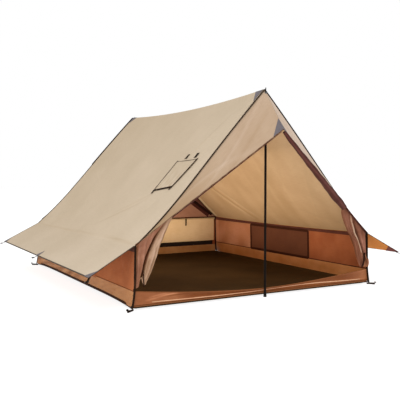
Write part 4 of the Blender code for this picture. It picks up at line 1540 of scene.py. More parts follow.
@dataclass(frozen=True)
class Walls:
    """The low walls: canvas with net windows and covers, and coated cloth along the ground."""

    top: float = 0.614
    side_area: float = 3.5 * 0.41
    window_half: float = 0.68
    window_top: float = 0.555
    cover_lap: float = 0.02
    net_thickness: float = 0.001
    vent_top: float = 0.575
    vent_inset: float = 0.06
    slit_top: float = 0.22
    tie_place: float = 0.917
    tie_length: float = 0.113
    tie: Pair = (0.022, 0.002)
    window_frame: Pair = (0.034, 0.0022)
    mud_seam: Pair = (0.009, 0.0016)
    rear_seam: Pair = (0.017, 0.002)
    cover_seam: Pair = (0.012, 0.002)
    sill_hem: Pair = (0.01, 0.003)
    sill_depth: float = 0.094
    columns: int = 150

    @property
    def foot(self) -> float:
        """Height at which the side walls' canvas starts."""
        return SHAPE.mud_top + 0.0003

    @property
    def span(self) -> float:
        """Half width of the strips across the two ends."""
        return float(SHAPE.wall_x(SHAPE.mud_top)) - SHAPE.cloth - 0.0009

    def side_points(self, side: Side, y: Grid, z: Grid, out: float = 0.0) -> Grid:
        """Points on a side wall's leaning outer face."""
        corner = bell(np.abs(y), SHAPE.half_depth, 0.12)
        return xyz(side.value * (SHAPE.wall_x(z) + out + SHAPE.flare(z) * corner), y, z)

    def hollows(self, y: Grid, z: Grid, low: Grid, high: float, seed: int, depth: float) -> Grid:
        """Slack folds that run along a strip and die out at its edges.

        Args:
            y: place along the strip.
            z: height.
            low: height of the strip's lower edge.
            high: height of its upper edge.
            seed: picks the pattern.
            depth: how deep the folds are.

        Returns:
            The lift at each point, inward only.
        """
        inside = np.sin(np.pi * unit((z - low) / (high - low))) ** 0.5
        ends = unit((SHAPE.half_depth - np.abs(y)) / 0.1)
        waves = rolling(y, z * 3, 0.42, seed) + 0.5 * rolling(y, z, 0.13, seed + 1)
        return np.minimum(0, depth * inside * ends * waves)

    def build_side(self, side: Side) -> None:
        """Builds one side: wall, net, cover, jamb strips, mud wall.

        Args:
            side: which side.
        """
        half, top, foot, label = self.window_half, self.window_top, self.foot, side.label
        ys = lines(-SHAPE.half_depth, SHAPE.half_depth, self.columns, -half, half)
        heights = np.concatenate([np.linspace(foot, top, 31), np.linspace(top, self.top, 9)[1:]])
        y, z = np.meshgrid(ys, heights)
        sag = SHAPE.eave_sag * (1 - (y / SHAPE.half_depth) ** 2)
        z = np.where(z > top, top + (z - top) * (self.top - sag - top) / (self.top - top), z)
        # Cells under the eave get BAND: a hem strip whose dark colour also holds painted shade
        # under the eave
        band = band_of(heights, ys, top + 0.006, 1)
        near = unit((np.abs(y) - half) / 0.06) * unit((0.6 - z) / 0.05)
        # Painted shade darkens the walls high up under the eave, inside and out; outside, painted
        # light and shade also make them lighter low down, darker high up in the wing's shade and
        # darker towards the front. The diagonal streaks are random, and a narrow strip at the rear
        # corner is lighter
        streaks = 0.10 * rolling(y + 0.9 * (z - 0.4), z * 0.35, 0.33, 43)
        tone = streaks - 0.12 * unit((z - 0.42) / 0.15) + 0.05 + 0.3 * unit((y - 1.63) / 0.03)
        wall = cloth(
            f"wall_{label}_cloth", self.side_points(side, y, z), (side.value, 0, 0), "wall_canvas",
            [WALL_OUT, BAND], [WALL, BAND, WALL_PALE], node=f"wall_{label}", pick_outer=band,
            pick_inner=np.where((band == 0) & (ys[1:] > half + 0.001)[None, :], 2, band),
            keep=~np.outer(hits(heights, foot, top), hits(ys, -half, half)),
            lift=self.hollows(y, z, foot, 0.62, 51 + side.value, 0.0035) * near,
            tone=tone + 0.25 - 0.9 * (z - 0.19) + 0.1 * np.clip(y, -1.2, 0), tone_inner=tone,
        )
        self.build_window(side)
        self.build_mud_strip(side)

    def build_window(self, side: Side) -> None:
        """Builds one side's net window, the jamb strips beside it and the cover outside it.

        Args:
            side: which side.
        """
        half, top, foot, label = self.window_half, self.window_top, self.foot, side.label
        outward = (side.value, 0, 0)
        y, z = np.meshgrid(np.linspace(-half, half, 61), np.linspace(foot, top, 21))
        net = cloth(f"window_net_{label}_mesh", self.side_points(side, y, z, -0.0028), outward,
                    "window_net", [NET], node=f"window_net_{label}", thickness=self.net_thickness)
        rise, line = foot + (top - foot) * np.linspace(0, 1, 13), np.linspace(-half, half, 41)
        places = [(-half, rise), (half, rise), (line, foot + 0.004), (line, top)]
        tape(f"window_frame_{label}", [self.side_points(side, *place, -0.0062) for place in places],
             [(0, 1, 0)] * 2 + [(0, 0, 1)] * 2, self.window_frame, JAMB)
        lap = self.cover_lap
        low, high, reach = SHAPE.mud_top - lap, top + lap, half + lap
        y, z = np.meshgrid(np.linspace(-reach, reach, 101), np.linspace(high, low, 31))
        hang = unit((high - z) / 0.05) * np.clip((reach - np.abs(y)) / 0.05, 0.25, 1)
        slack = 0.003 * np.abs(rolling(y, z, 0.3, 61 + side.value)) * hang
        body = f"window_cover_{label}"
        cover = cloth(f"{body}_cloth", self.side_points(side, y, z, 0.0022), outward, "wall_canvas",
                      [WALL_OUT], [WALL], node=body, body=body, lift=slack)

    def build_mud_strip(self, side: Side) -> None:
        """Builds one side's mud wall and the seams between it and the wall.

        Args:
            side: which side.
        """
        label, end = side.label, SHAPE.half_depth
        y, t = np.meshgrid(np.linspace(-end, end, 201), np.linspace(0, 1, 21))
        low = SHAPE.strip_foot + SHAPE.rim(SHAPE.half_width, y)
        z = low + (SHAPE.mud_top - low) * t
        # Painted light and shade: outside, lighter higher up, with painted highlights and shade in
        # slanted bands as of folds towards the rear; inside, lighter higher up and towards the door
        waves = np.sin(15 * y + 60 * z + 2 * np.sin(3 * y))
        streaks = unit((y + 0.3) / 0.5) * (0.28 * waves - 0.16)
        strip = cloth(
            f"mud_wall_{label}_cloth", self.side_points(side, y, z), (side.value, 0, 0),
            "mud_wall_cloth", [MUD_OUT], [MUD_SIDE], node=f"mud_wall_{label}",
            lift=self.hollows(y, z, low, SHAPE.mud_top, 71 + side.value, 0.003),
            tone=0.06 * rolling(y + z * 1.6, z * 4, 0.14, 47) + 0.5 * (z - 0.1) + streaks,
            tone_inner=0.06 * rolling(y, z * 4, 0.5, 49) + 1.5 * (z - 0.1) - 0.3 * (y / end)
            + 0.3 * unit(y / end),
        )
        line = np.linspace(-end, end, 71)
        for place, out, finish in (("outer", 0.001, RUST_SEAM), ("inner", -0.0055, SEAM)):
            path = self.side_points(side, line, SHAPE.mud_top, out)
            tape(f"mud_wall_{place}_seam_{label}", [path], [(0, 0, 1)], self.mud_seam, finish)

    def build_rear(self) -> None:
        """Builds the rear wall, its seams, its net vent, the mud wall and the vent's two covers."""
        depth, span, top = SHAPE.half_depth, self.span, self.vent_top
        vent, foot = span - self.vent_inset, SHAPE.rear_mud_top + 0.0003
        xs = lines(-span, span, 120, -vent, vent)
        zs = np.concatenate([np.linspace(foot, top, 25), np.linspace(top, self.top, 4)[1:]])
        x, z = np.meshgrid(xs, zs)
        narrow = 1 - 0.0075 * unit(z - 0.19) / 0.42
        wall = cloth(
            "wall_rear_cloth", xyz(x * narrow, depth, z), (0, 1, 0), "wall_canvas", [WALL_OUT],
            [WALL, COVER_TAN], node="wall_rear", pick_inner=band_of(zs, xs, top, 1),
            keep=~np.outer(hits(zs, foot, top), hits(xs, -vent, vent)),
        )
        level, rise = np.linspace(-span, span, 61), np.linspace(0.05, 0.6, 21)
        paths = [xyz(level * 0.994, depth - 0.0045, 0.609)]
        for way in Side:
            corner = way.value * (SHAPE.wall_x(rise) - SHAPE.cloth - 0.012)
            paths.append(xyz(corner, depth - 0.012, rise))
        tape("rear_wall_seams", paths, [(0, 0, 1), (1, 0, 0), (1, 0, 0)], self.rear_seam, SEAM)
        x, z = np.meshgrid(np.linspace(-vent, vent, 61), np.linspace(foot, top, 13))
        net = cloth("rear_vent_mesh", xyz(x, depth - 0.0012, z), (0, 1, 0), "window_net",
                    [NIGHT_NET], node="rear_vent_net", thickness=self.net_thickness)
        low, high = SHAPE.strip_foot + SHAPE.rear_rim, SHAPE.rear_mud_top
        x, z = np.meshgrid(np.linspace(-span, span, 181), np.linspace(low, high, 17))
        hollows = np.minimum(0, 0.003 * rolling(x, z * 3, 0.35, 81))
        mud = cloth("mud_wall_rear_cloth", xyz(x, depth, z), (0, 1, 0), "mud_wall_cloth", [MUD_OUT],
                    [MUD_REAR], node="mud_wall_rear",
                    lift=hollows * np.sin(np.pi * (z - low) / (high - low)))
        for side in Side:
            self.build_rear_cover(side, vent)

    def build_rear_cover(self, side: Side, vent: float) -> None:
        """Builds half of the rear vent's inside cover with its tie.

        Args:
            side: which half.
            vent: half width of the vent.
        """
        top, face = self.vent_top + self.cover_lap, SHAPE.half_depth - SHAPE.cloth - 0.0003
        near, far = 0.06, vent + self.cover_lap
        label, body = side.label, f"rear_vent_cover_{side.label}"
        x, z = np.meshgrid(np.linspace(near, far, 71), np.linspace(top, self.slit_top, 25))
        waves = 0.5 + 0.5 * rolling(x, z * 0.3, 0.4, 91 + side.value)
        sway = 0.006 * unit((top - z) / 0.08) * waves
        points = xyz(side.value * x, face - 0.001 - np.clip(sway, 0, 0.012), z)
        cover = cloth(f"{body}_cloth", points, (0, -1, 0), "visor_canvas", [COVER_TAN], node=body,
                      body=body)
        path = xyz(side.value * np.linspace(near, far, 41), face - 0.005, top - 0.006)
        tape(f"rear_cover_seam_{label}", [path], [(0, 0, 1)], self.cover_seam, TAN_SEAM, body=body)
        t = np.linspace(0, 1, 13)
        path = xyz(side.value * self.tie_place, face - 0.011 - 0.004 * np.sin(np.pi * t),
                   top - self.tie_length * t)
        node = f"rear_cover_tie_{label}"
        tie = tape(f"{node}_webbing", [path], [(1, 0, 0)], self.tie, TAPE, node, body=body)

    def build_sill(self) -> None:
        """Builds the slack strip under the open door, with a long fold whose highlight is painted
        on.
        """
        low, span = SHAPE.strip_foot + SHAPE.front_rim, self.span
        x, t = np.meshgrid(np.linspace(-span, span, 221), np.linspace(0, 1, 49))
        z = low + (SHAPE.sill(x) - low) * t
        ends = 1 - (x / span) ** 2
        sweep = 2.1 * t + 0.45 * np.sin(1.4 * x + 0.6) + 0.12 * np.sin(5.1 * x)
        wave = 0.5 + 0.5 * np.sin(2 * np.pi * sweep)
        wave = wave + 0.35 * (0.5 + 0.5 * np.sin(2 * np.pi * (1.9 * sweep + 0.3)))
        y = -SHAPE.half_depth + 0.008 * np.sin(np.pi * t) * ends
        y = y + 0.0045 * wave * np.sin(np.pi * np.clip(t, 0.03, 0.97)) * np.sqrt(ends)
        # Painted light and shade: a highlight along the long fold, a dark band above it and shade
        # below, lit and shaded creases at the left, a lit line along the top edge and dark shade at
        # the foot; the lit cells get MUD_LIT, a paler copy of the cloth
        crest = 0.17 + 0.42 * bell(x, 0.4, 0.55)
        reach = 0.045 + 0.05 * bell(x, 0.1, 0.8)
        start, stop = unit((x + 1.35) / 0.2), unit((1.48 - x) / 0.2)
        part = unit((x + 1.05) / 0.4) * unit((1.4 - x) / 0.5)
        tone = 0.7 * bell(t, crest, reach) * start * stop - 0.12
        tone = tone - 0.8 * part * unit((t - crest - reach) / 0.12)
        tone = tone - 0.5 * start * unit((crest - reach - t) / 0.05)
        tone = creases(
            tone + 0.35 * unit((x - 0.1) / 0.4) * bell(t, 0.95, 0.06), x, t * 0.15,
            ((-1.36, 0.045), (-0.98, 0.15), 0.013, 0.8), ((-1.33, 0.08), (-1.12, 0.14), 0.009, 0.6),
            ((-1.30, 0.075), (-0.90, 0.12), 0.011, -0.4),
        )
        x = x + np.sign(x) * SHAPE.flare(z) * unit((np.abs(x) - 1.2) / 0.28) ** 2
        lit = (np.abs(t - crest) < 0.62 * reach) & (x > -1.3) & (x < 1.4)
        sill = cloth(
            "door_sill_cloth", xyz(x, y, z), (0, -1, 0), "mud_wall_cloth", [MUD, MUD_LIT],
            node="door_sill", pick_outer=lit[1:, 1:].astype(int),
            tone=np.where(t < 0.04, -0.5, tone),
        )
        line = np.linspace(-span, span, 101)
        path = xyz(line, -SHAPE.half_depth + 0.0012, SHAPE.sill(line) - 0.003)
        tape("door_sill_hem", [path], [(0, 0, 1)], self.sill_hem, HEM_RUST)

    def build(self) -> None:
        """Builds all walls."""
        for side in Side:
            self.build_side(side)
        self.build_rear()
        self.build_sill()


@dataclass(frozen=True)
class Groundsheet:
    """The coated floor, its edge turned up and bound all round."""

    half_x: float = 1.4985
    half_y: float = 1.7485
    turn: float = 0.04
    end_binding: Pair = (0.010, 0.0024)
    side_binding: Pair = (0.024, 0.0024)

    def stations(self, half: float, count: int) -> Grid:
        """Stations from edge to edge, close together where the edge turns up."""
        edge = half - self.turn * (1 - np.linspace(0, 1, 7))
        return np.concatenate([-edge[::-1], np.linspace(-edge[0], edge[0], count + 1)[1:-1], edge])

    def build(self) -> None:
        """Builds the sheet and its binding."""
        x, y = np.meshgrid(self.stations(self.half_x, 90), self.stations(self.half_y, 100))
        past = np.maximum(np.abs(x) - self.half_x, np.abs(y) - self.half_y) + self.turn
        rise = (SHAPE.floor_rise + 0.0036) * (np.clip(past, 0, None) / self.turn) ** 2
        slack = 0.004 * (0.5 + 0.5 * rolling(x, y, 0.45, 101)) * unit(-past / 0.1)
        z = 0.0026 + rise + np.clip(slack, 0, 0.008) + SHAPE.rim(x, y)
        # Painted light and shade: the floor is lighter in a broad patch near the middle and darker
        # towards the rear and the right
        sheet = cloth(
            "groundsheet_sheet", xyz(x, y, z), (0, 0, 1), "groundsheet_cloth", [FLOOR_CLOTH],
            node="groundsheet", thickness=0.0024,
            tone=0.3 * bell(np.hypot(x - 0.1, y - 0.5), 0, 1) - 0.2 * y / SHAPE.half_depth
            - 0.12 * x / SHAPE.half_width,
        )
        ring = np.array([(-1, -1), (1, -1), (1, 1), (-1, 1), (-1, -1)]) * (1.5008, 1.7512)
        for i, (name, height, size, finish) in enumerate((
            ("front", 0.021, self.end_binding, HEM_RUST), ("right", 0.014, self.side_binding, EDGE),
            ("rear", 0.021, self.end_binding, EDGE), ("left", 0.014, self.side_binding, EDGE),
        )):
            line = np.linspace(ring[i], ring[i + 1], 61)
            path = np.column_stack([line, height + SHAPE.rim(line[:, 0], line[:, 1])])
            tape(f"floor_{name}_binding", [path], [(0, 0, 1)], size, finish)


@dataclass(frozen=True)
class LeafForm:
    """How one tied-back leaf hangs.

    Shares across a leaf run from its free edge (0) to the corner (1), and shares down it from the
    visor (0) to the tied end (1). The valley is a deep fold and the streak one that catches light;
    each holds the three factors that give its share across from the share down. The roll scales
    the rolled part, roll_lap is how far that laps over the visor's hem, and bulge is how far the
    gathered foot swells out.
    """

    side: Side
    finishes: tuple[Finish, ...]
    free_edge: tuple[Pair, ...]
    valley: Triple
    streak: Triple
    light_half: Pair
    light_stop: float
    light_taper: float
    glow: float
    rust_share: float
    rust_from: float
    roll: float
    roll_lap: float
    hang_start: float
    bulge: float
    gather: float
    tie_inset: Pair
    tie: Pair


@dataclass(frozen=True)
class DoorLeaves:
    """The two door leaves, rolled up along the visor's edge and then hanging into tied corners."""

    roll_start: float = 0.012
    hang_stop: float = 0.985
    turns: float = 1.6
    roll_length: float = 1.47
    bunch_height: float = 0.27
    tie_length: float = 0.167
    fold_count: float = 5.5
    fold_depth: float = 0.012
    crumple_depth: float = 0.009
    valley_depth: float = 0.055
    edge_depth: float = 0.03
    streak_height: float = 0.014
    columns: int = 120
    rows: int = 72

    def build_roll(self, form: LeafForm) -> None:
        """Builds the rolled part, a spiral of cloth that thickens towards the corner.

        Args:
            form: the leaf's form.
        """
        side = form.side
        inward = np.array([-side.value * 0.543, 0.667, -0.511])
        upward = direction(np.cross(inward, (side.value, 0.232, -0.762)))
        upward *= np.sign(upward[2])
        shares = lines(self.roll_start, form.hang_start + 0.015, 110)
        swell = form.roll * np.interp(
            shares, [0.0, 0.05, 0.22, 0.46, 0.58, 0.66, 0.72, 0.745, 0.77],
            [0.012, 0.019, 0.0245, 0.031, 0.036, 0.0345, 0.030, 0.028, 0.026],
        )
        swell = np.convolve(np.pad(swell, 4, "edge"), np.ones(9) / 9, "valid")
        angle = np.linspace(0, 2 * np.pi * self.turns, 64)[:, None]
        reach = 0.5 * (1 - 0.30 * angle / angle[-1])
        crumple = 1 + 0.05 * np.sin(shares * 60 + angle) + 0.04 * np.sin(shares * 23 + 2.2 * angle)
        one = swell * (0.5 - form.roll_lap - reach * np.cos(angle) * crumple)
        two = swell * (-reach * 0.75 * np.sin(angle) * crumple)
        edge = SHAPE.visor_edge(End.FRONT, side.value * shares) - (0, 0, 0.004)
        points = edge + one[..., None] * inward + two[..., None] * upward
        outward = normals(points[:20], -upward).mean((0, 1))
        wander = 1.25 + 0.25 * np.sin(shares * 9)
        label = side.label
        # Painted highlight along the middle of the roll's visible turn, with faint bands along it
        roll = cloth(
            f"door_leaf_{label}_roll", points, outward, "visor_canvas", [LEAF_ROLL],
            node=f"door_leaf_{label}", thickness=0.0012,
            tone=0.75 * bell(angle, wander, 0.32) + 0.1 * np.sin(shares * 31),
        )

    def outline(self, form: LeafForm, u: Grid, t: Grid) -> tuple[Grid, Grid]:
        """The hanging part's outline between its free edge and the corner.

        Args:
            form: the leaf's form.
            u: shares across.
            t: shares down.

        Returns:
            Half width and height of each point.
        """
        down = t[:, 0]
        start = SHAPE.visor_edge(End.FRONT, form.hang_start)
        edge = np.array([(start[0], start[2]), *form.free_edge])
        run = np.concatenate([[0], np.hypot(*np.diff(edge, axis=0).T).cumsum()])
        near = [
            np.convolve(np.pad(np.interp(down, run / run[-1], edge[:, k]), 4, "reflect",
                               reflect_type="odd"), np.ones(9) / 9, "valid")
            for k in (0, 1)
        ]
        stop = SHAPE.visor_edge(End.FRONT, self.hang_stop)
        far_z = stop[2] + (SHAPE.mud_top + 0.02 - stop[2]) * down
        far_x = SHAPE.wall_x(far_z) - SHAPE.cloth - 0.0012
        far_x[0] = stop[0]
        x, z = (a[:, None] + (b - a)[:, None] * u for a, b in zip(near, (far_x, far_z)))
        gather = bell(u, 0.41, 0.13) * unit((t - 0.78) / 0.22) ** 1.5
        return x, z + form.gather * gather

    def depth(self, form: LeafForm, u: Grid, t: Grid, x: Grid, z: Grid) -> Grid:
        """The hanging part's folds.

        Args:
            form: the leaf's form.
            u: shares across.
            t: shares down.
            x: half widths.
            z: heights.

        Returns:
            How far each point lies behind the leaf's face.
        """
        hang = np.sin(np.pi * unit(t)) ** 0.6
        radial = u + 0.05 * np.sin(3.0 * t + 2.0 * form.side.value)
        waves = 0.5 + 0.5 * np.cos(2 * np.pi * self.fold_count * radial)
        depth = self.fold_depth * waves * (0.25 + 0.75 * hang)
        crumple = rolling(x, z * 0.6, 0.075, 131 + form.side.value)
        depth = depth + self.crumple_depth * (0.5 + 0.5 * crumple) * hang
        valley = bell(u - np.polyval(form.valley, t), 0.04 * np.sin(2.6 * t), 0.06)
        depth = depth + self.valley_depth * valley * unit(t * 5) * unit((1.03 - t) * 5)
        depth = depth + self.edge_depth * bell(u, 0, 0.07) * hang
        ridge = bell(u, np.polyval(form.streak, t), 0.055)
        return np.maximum(depth - self.streak_height * ridge * hang, -0.004)

    def picks(self, form: LeafForm, u: Grid, t: Grid) -> Grid:
        """Which cells of a leaf have its light finish (1) or its rust one (2).

        Args:
            form: the leaf's form.
            u: shares across.
            t: shares down.

        Returns:
            The finish of each cell.
        """
        across, down = ((share[1:, 1:] + share[:-1, :-1]) / 2 for share in (u, t))
        past = across - np.polyval(form.streak, down)
        low, high = (half * np.clip(down / 0.4, form.light_taper, 1) for half in form.light_half)
        pick = np.zeros(across.shape, int)
        rust = form.rust_share + 0.04 * np.sin(2.6 * down)
        pick[(across > rust) & (down > form.rust_from)] = 2
        pick[(past > low) & (past < high) & (down < form.light_stop)] = 1
        return pick

    def build_leaf(self, form: LeafForm) -> None:
        """Builds the hanging part of a leaf.

        Args:
            form: the leaf's form.
        """
        side, label = form.side, form.side.label
        u, t = np.meshgrid(np.linspace(0, 1, self.columns + 1), np.linspace(0, 1, self.rows + 1))
        x, z = self.outline(form, u, t)
        depth = self.depth(form, u, t, x, z)
        tip = SHAPE.ridge - SHAPE.visor_drop - SHAPE.eave
        rise = np.clip(z - SHAPE.eave, 0, None) / tip
        swell = form.bulge * bell(z, self.bunch_height, 0.085) * unit((u - 0.45) / 0.4) ** 0.7
        y = depth + 0.0003 - SHAPE.half_depth - SHAPE.visor_reach * rise - 1.35 * swell
        # Painted shade: darker in the deep folds, just below the visor and in the lower half; for
        # the right leaf, glow paints the part beyond the streak lighter lower down
        tone = 0.28 - 16 * depth - 0.35 * np.exp(-t / 0.07) - 0.2 * unit((t - 0.45) / 0.3)
        beyond = unit((u - np.polyval(form.streak, t) - 0.12) / 0.25)
        pick = self.picks(form, u, t)
        leaf = cloth(
            f"door_leaf_{label}_cloth", xyz(side.value * (x + swell), y, z), (0, -1, 0),
            "visor_canvas", form.finishes, node=f"door_leaf_{label}", pick_outer=pick,
            pick_inner=pick, tone=tone + form.glow * beyond * unit((t - 0.2) / 0.3),
        )

    def build_tie(self, form: LeafForm) -> None:
        """Builds the webbing tie that lies on a leaf, over the swelling of its foot.

        Args:
            form: the leaf's form.
        """
        side, label, t = form.side, form.side.label, np.linspace(0, 1, 21)
        corner = float(SHAPE.wall_x(SHAPE.mud_top)) - SHAPE.cloth - 0.0012
        x = side.value * (corner - form.tie_inset[0] + (form.tie_inset[0] - form.tie_inset[1]) * t)
        z = 2 * SHAPE.mud_top - 0.16 * t
        y = -SHAPE.half_depth - 0.0014 - 0.004 * np.sin(np.pi * t)
        y -= 1.6 * max(form.bulge - 0.008, 0) * bell(z, self.bunch_height, 0.1)
        node = f"door_tie_{label}"
        tie = tape(f"{node}_webbing", [xyz(x, y, z)], [(1, 0, 0)], form.tie, SEAM, node)

    def build(self) -> None:
        """Builds both leaves."""
        left = LeafForm(
            side=Side.LEFT, finishes=(LEAF_RED, LEAF, LEAF_RUST),
            free_edge=(
                (1.142, 0.80), (1.172, 0.664), (1.232, 0.492), (1.302, 0.342), (1.368, 0.245),
            ),
            valley=(-0.55, 0.85, 0.19), streak=(-0.55, 0.85, -0.02),
            light_half=(-1.2, 0.19), light_stop=1.0, light_taper=1.0, glow=0.0,
            rust_share=0.86, rust_from=0.0, roll=0.45, roll_lap=0.0, hang_start=0.745,
            bulge=0.008, gather=0.085, tie_inset=(0.092, 0.102), tie=(0.012, 0.002),
        )
        right = LeafForm(
            side=Side.RIGHT, finishes=(LEAF_MAUVE, LEAF, LEAF_RUST),
            free_edge=(
                (1.022, 0.90), (1.135, 0.74), (1.262, 0.60), (1.312, 0.484), (1.345, 0.36),
                (1.388, 0.222),
            ),
            valley=(-0.3, 0.55, 0.48), streak=(-0.3, 0.55, 0.33),
            light_half=(-0.09, 0.035), light_stop=0.72, light_taper=0.35, glow=0.95,
            rust_share=0.52, rust_from=0.66, roll=2.4, roll_lap=0.24, hang_start=0.70,
            bulge=0.022, gather=0.0, tie_inset=(0.04, 0.085), tie=(0.03, 0.002),
        )
        for form in (left, right):
            self.build_roll(form)
            self.build_leaf(form)
            self.build_tie(form)


@dataclass(frozen=True)
class Straps:
    """The webbing loops round the wing toggles and the floor's corner pegs, and the pegs."""

    gap: float = 0.0003
    width: float = 0.02
    wrap: float = 250.0
    peg_lean: float = 40.0
    peg_sides: int = 24
    peg_profile: tuple[Pair, ...] = (
        (0.0, 0.0035), (0.032, 0.0035), (0.033, 0.0105), (0.036, 0.0125), (0.040, 0.0125),
        (0.043, 0.0105),
    )

    def loop(
        self, name: str, bar: Grid, out: Grid, across: Grid, length: float, radius: float,
        thickness: float,
    ) -> None:
        """Builds a strap that runs out to a bar and folds back round it.

        Args:
            name: the CAD node that it stands for.
            bar: middle of the bar.
            out: unit direction of the strap.
            across: unit direction of its width.
            length: from the strap's start to the bar.
            radius: the bar's radius.
            thickness: the webbing's thickness.
        """
        up = np.cross(across, out)
        turn = radius + self.gap + thickness / 2
        start = bar - out * length + up * turn
        angle = np.pi / 2 - np.radians(self.wrap) * np.linspace(0, 1, 22)
        a = np.concatenate([
            np.linspace(0, length, 16)[:-1], length + turn * np.cos(angle), [length - 4 * turn]
        ])
        b = np.concatenate([np.zeros(15), turn * (np.sin(angle) - 1), [-thickness - self.gap]])
        path = start + a[:, None] * out + b[:, None] * up
        strap = tape(f"{name}_webbing", [path], [across], (self.width, thickness), TAPE, name)

    def build(self) -> None:
        """Builds the six wing straps and the four peg straps; toggles and pegs keep their place."""
        for side in Side:
            for along, place in ((-1, "front"), (0, "middle"), (1, "rear")):
                toggle = f"wing_toggle_{place}_{side.label}"
                edge, inner = SHAPE.roof(side, along, 2.0), SHAPE.roof(side, along * 0.97, 1.85)
                flat = direction(np.array([side.value * (0.55 if along else 1.0), 0.8 * along, 0]))
                out = direction(flat + (0, 0, direction(edge - inner)[2]))
                low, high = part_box(toggle)
                self.loop(f"wing_strap_{place}_{side.label}", np.array((low + high) / 2), out,
                          -direction(np.cross(out, (0, 0, 1))), 0.105, 0.004, 0.003)
                plain(toggle, NYLON)
            for end in End:
                peg = f"peg_{end.label}_{side.label}"
                out = np.array([side.value * 0.8, end.value * 0.6, 0])
                low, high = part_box(peg)
                foot = np.array((low + high) / 2) * (1, 1, 0)
                bar = foot + out * 0.011 + (0, 0, SHAPE.floor_rise - 0.0109)
                self.loop(f"peg_strap_{end.label}_{side.label}", bar, out, np.array([0, 0, 1.0]),
                          0.086, 0.0035, 0.006)
                self.build_peg(peg, foot, out)

    def build_peg(self, name: str, foot: Grid, out: Grid) -> None:
        """Builds a headed steel peg that leans away from the tent.

        Args:
            name: the CAD node that it stands for.
            foot: where its middle line meets the ground.
            out: level unit direction away from the tent's corner.
        """
        lean, n, rings = math.radians(self.peg_lean), self.peg_sides, len(self.peg_profile)
        axis = out * math.sin(lean) + (0, 0, math.cos(lean))
        one = direction(np.cross(axis, (0, 0, 1)))
        two = np.cross(axis, one)
        angle = np.linspace(0, 2 * np.pi, n, endpoint=False)[:, None]
        ring = np.cos(angle) * one + np.sin(angle) * two
        points = np.concatenate([foot + axis * up + ring * wide for up, wide in self.peg_profile])
        points[:, 2] = np.maximum(points[:, 2], 0)
        faces = [
            (n * i + k, n * i + (k + 1) % n, n * i + n + (k + 1) % n, n * i + n + k)
            for i in range(rings - 1) for k in range(n)
        ]
        faces += [tuple(range(n)), tuple(range(n * (rings - 1), n * rings))]
        peg = mesh_object(
            f"{name}_pin", points, faces, points[:, [0, 2]], [0] * len(faces), [STEEL.material()]
        )
        recalculate(peg)
        dress(peg, TENT, name)


def plain(node: str, finish: Finish) -> None:
    """Gives a CAD node that keeps its shape a finish.

    Args:
        node: the node.
        finish: its finish.
    """
    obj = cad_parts[node]
    obj.data.materials.clear()
    obj.data.materials.append(finish.material())
    smooth(obj, 35)
    LOG.info("%s is finished as %s", node, finish.name)


def build_poles() -> None:
    """Finishes the two poles: coated steel tubes on rubber feet."""
    for end in End:
        plain(f"{end.label}_pole_foot", RUBBER)
        for part in ("lower", "middle", "upper"):
            plain(f"{end.label}_pole_{part}", STEEL)


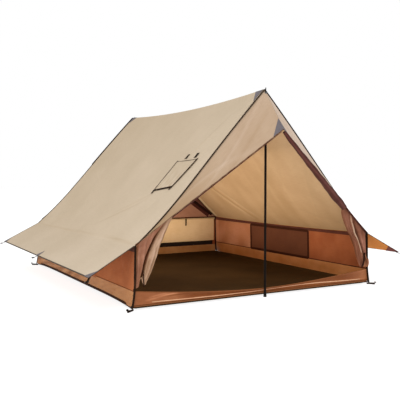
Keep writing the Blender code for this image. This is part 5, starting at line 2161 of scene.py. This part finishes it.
@dataclass(frozen=True)
class Studio:
    """Camera, soft lamps, pale floor and white surroundings."""

    eye: Triple = (-3.7527, -7.0649, 1.2655)
    yaw: float = 29.2776
    pitch: float = -2.0846
    lens: float = 54.83
    sun: float = 1.05
    sky: float = 0.58
    inside: float = 20.0
    under: float = 36.0
    front: float = 60.0
    lift: float = 0.87
    floor_reach: float = 60.0
    floor_gap: float = 0.0006

    def build_camera(self) -> None:
        """Places the camera in front of the open door, a little to the left."""
        yaw, pitch = math.radians(self.yaw), math.radians(self.pitch)
        level = Vector((math.sin(yaw), math.cos(yaw), 0)) * math.cos(pitch)
        ahead = level + Vector((0, 0, math.sin(pitch)))
        right = Vector((math.cos(yaw), -math.sin(yaw), 0))
        up = right.cross(ahead)
        data = bpy.data.cameras.new("camera")
        data.lens, data.sensor_width, data.clip_end = self.lens, 36.0, 200.0
        camera = link("camera", data)
        turn = Matrix((right, up, -ahead)).transposed().to_4x4()
        camera.matrix_world = Matrix.Translation(self.eye) @ turn
        bpy.context.scene.camera = camera

    def build_world(self) -> None:
        """White surroundings for the camera, softer light for the tent."""
        world = bpy.data.worlds.new("studio")
        bpy.context.scene.world = world
        world.use_nodes = True
        tree = world.node_tree
        tree.nodes.clear()
        rays = add(tree, "ShaderNodeLightPath").outputs
        seen = rays["Is Camera Ray"]
        for kind in ("Is Glossy Ray", "Is Transmission Ray"):
            seen = join(tree, "ShaderNodeMath", "MAXIMUM", seen, rays[kind])
        soft, white = (
            add(tree, "ShaderNodeBackground", {}, {"Color": WHITE, "Strength": strength}).outputs[0]
            for strength in (self.sky, 1.0)
        )
        mix = add(tree, "ShaderNodeMixShader", {0: seen, 1: soft, 2: white})
        add(tree, "ShaderNodeOutputWorld", {"Surface": mix.outputs[0]})

    def lamp(
        self, name: str, kind: str, power: float, place: Triple, way: Triple, **settings: Any
    ) -> None:
        """Hangs a lamp that the camera doesn't see.

        Args:
            name: the lamp's name.
            kind: SUN or AREA.
            power: its strength.
            place: where it hangs.
            way: the direction that it shines in.
            **settings: the lamp's own properties.
        """
        data = bpy.data.lights.new(name, kind)
        data.energy = power
        for key, value in settings.items():
            setattr(data, key, value)
        lamp = link(name, data)
        lamp.location = place
        lamp.rotation_euler = Vector(way).to_track_quat("-Z", "Y").to_euler()
        lamp.visible_camera = False

    def build_lamps(self) -> None:
        """A broad sun from the upper left and front, soft glows inside and one lamp at the left."""
        warm = linear("FFF6EA")[:3]
        self.lamp("sun", "SUN", self.sun, (0, 0, 0), (0.55, 0.65, -1.25), angle=math.radians(35))
        self.lamp("glow_down", "AREA", self.inside, (0, 0.05, 1.62), (0, 0, -1),
                  shape="RECTANGLE", size=0.6, size_y=2.9, color=warm)
        self.lamp("glow_up", "AREA", self.under, (0, 0.05, 0.14), (0, 0, 1),
                  shape="RECTANGLE", size=2.3, size_y=2.9, color=warm)
        self.lamp("front_left", "AREA", self.front, (-6.2, -4.6, 2.4), (5.0, 3.6, -1.5),
                  shape="DISK", size=3.0)

    def build_ground(self) -> None:
        """A wide pale floor under the tent."""
        material = bpy.data.materials.new("pale_studio_floor")
        material.use_nodes = True
        tree = material.node_tree
        wire(tree, tree.nodes["Principled BSDF"], values={
            "Base Color": linear("A2A2A2"), "Roughness": 0.9, "Specular IOR Level": 0.0,
            "Emission Color": WHITE, "Emission Strength": self.lift,
        })
        mesh = bpy.data.meshes.new("studio_floor")
        corners = [
            (x * self.floor_reach, y * self.floor_reach, -self.floor_gap)
            for x, y in ((-1, -1), (1, -1), (1, 1), (-1, 1))
        ]
        mesh.from_pydata(corners, [], [(0, 1, 2, 3)])
        mesh.materials.append(material)
        ground = link("studio_floor", mesh)

    def build(self) -> None:
        """Builds the studio."""
        self.build_camera()
        self.build_world()
        self.build_lamps()
        self.build_ground()
        bpy.context.scene.view_settings.view_transform = "Standard"


def main() -> None:
    """Builds the tent from the floor up, then the studio."""
    logging.basicConfig(level=logging.INFO, format="%(name)s: %(message)s")
    Groundsheet().build()
    Walls().build()
    Fly().build()
    Hood().build()
    DoorLeaves().build()
    Straps().build()
    build_poles()
    Studio().build()


if __name__ == "__main__":
    main()
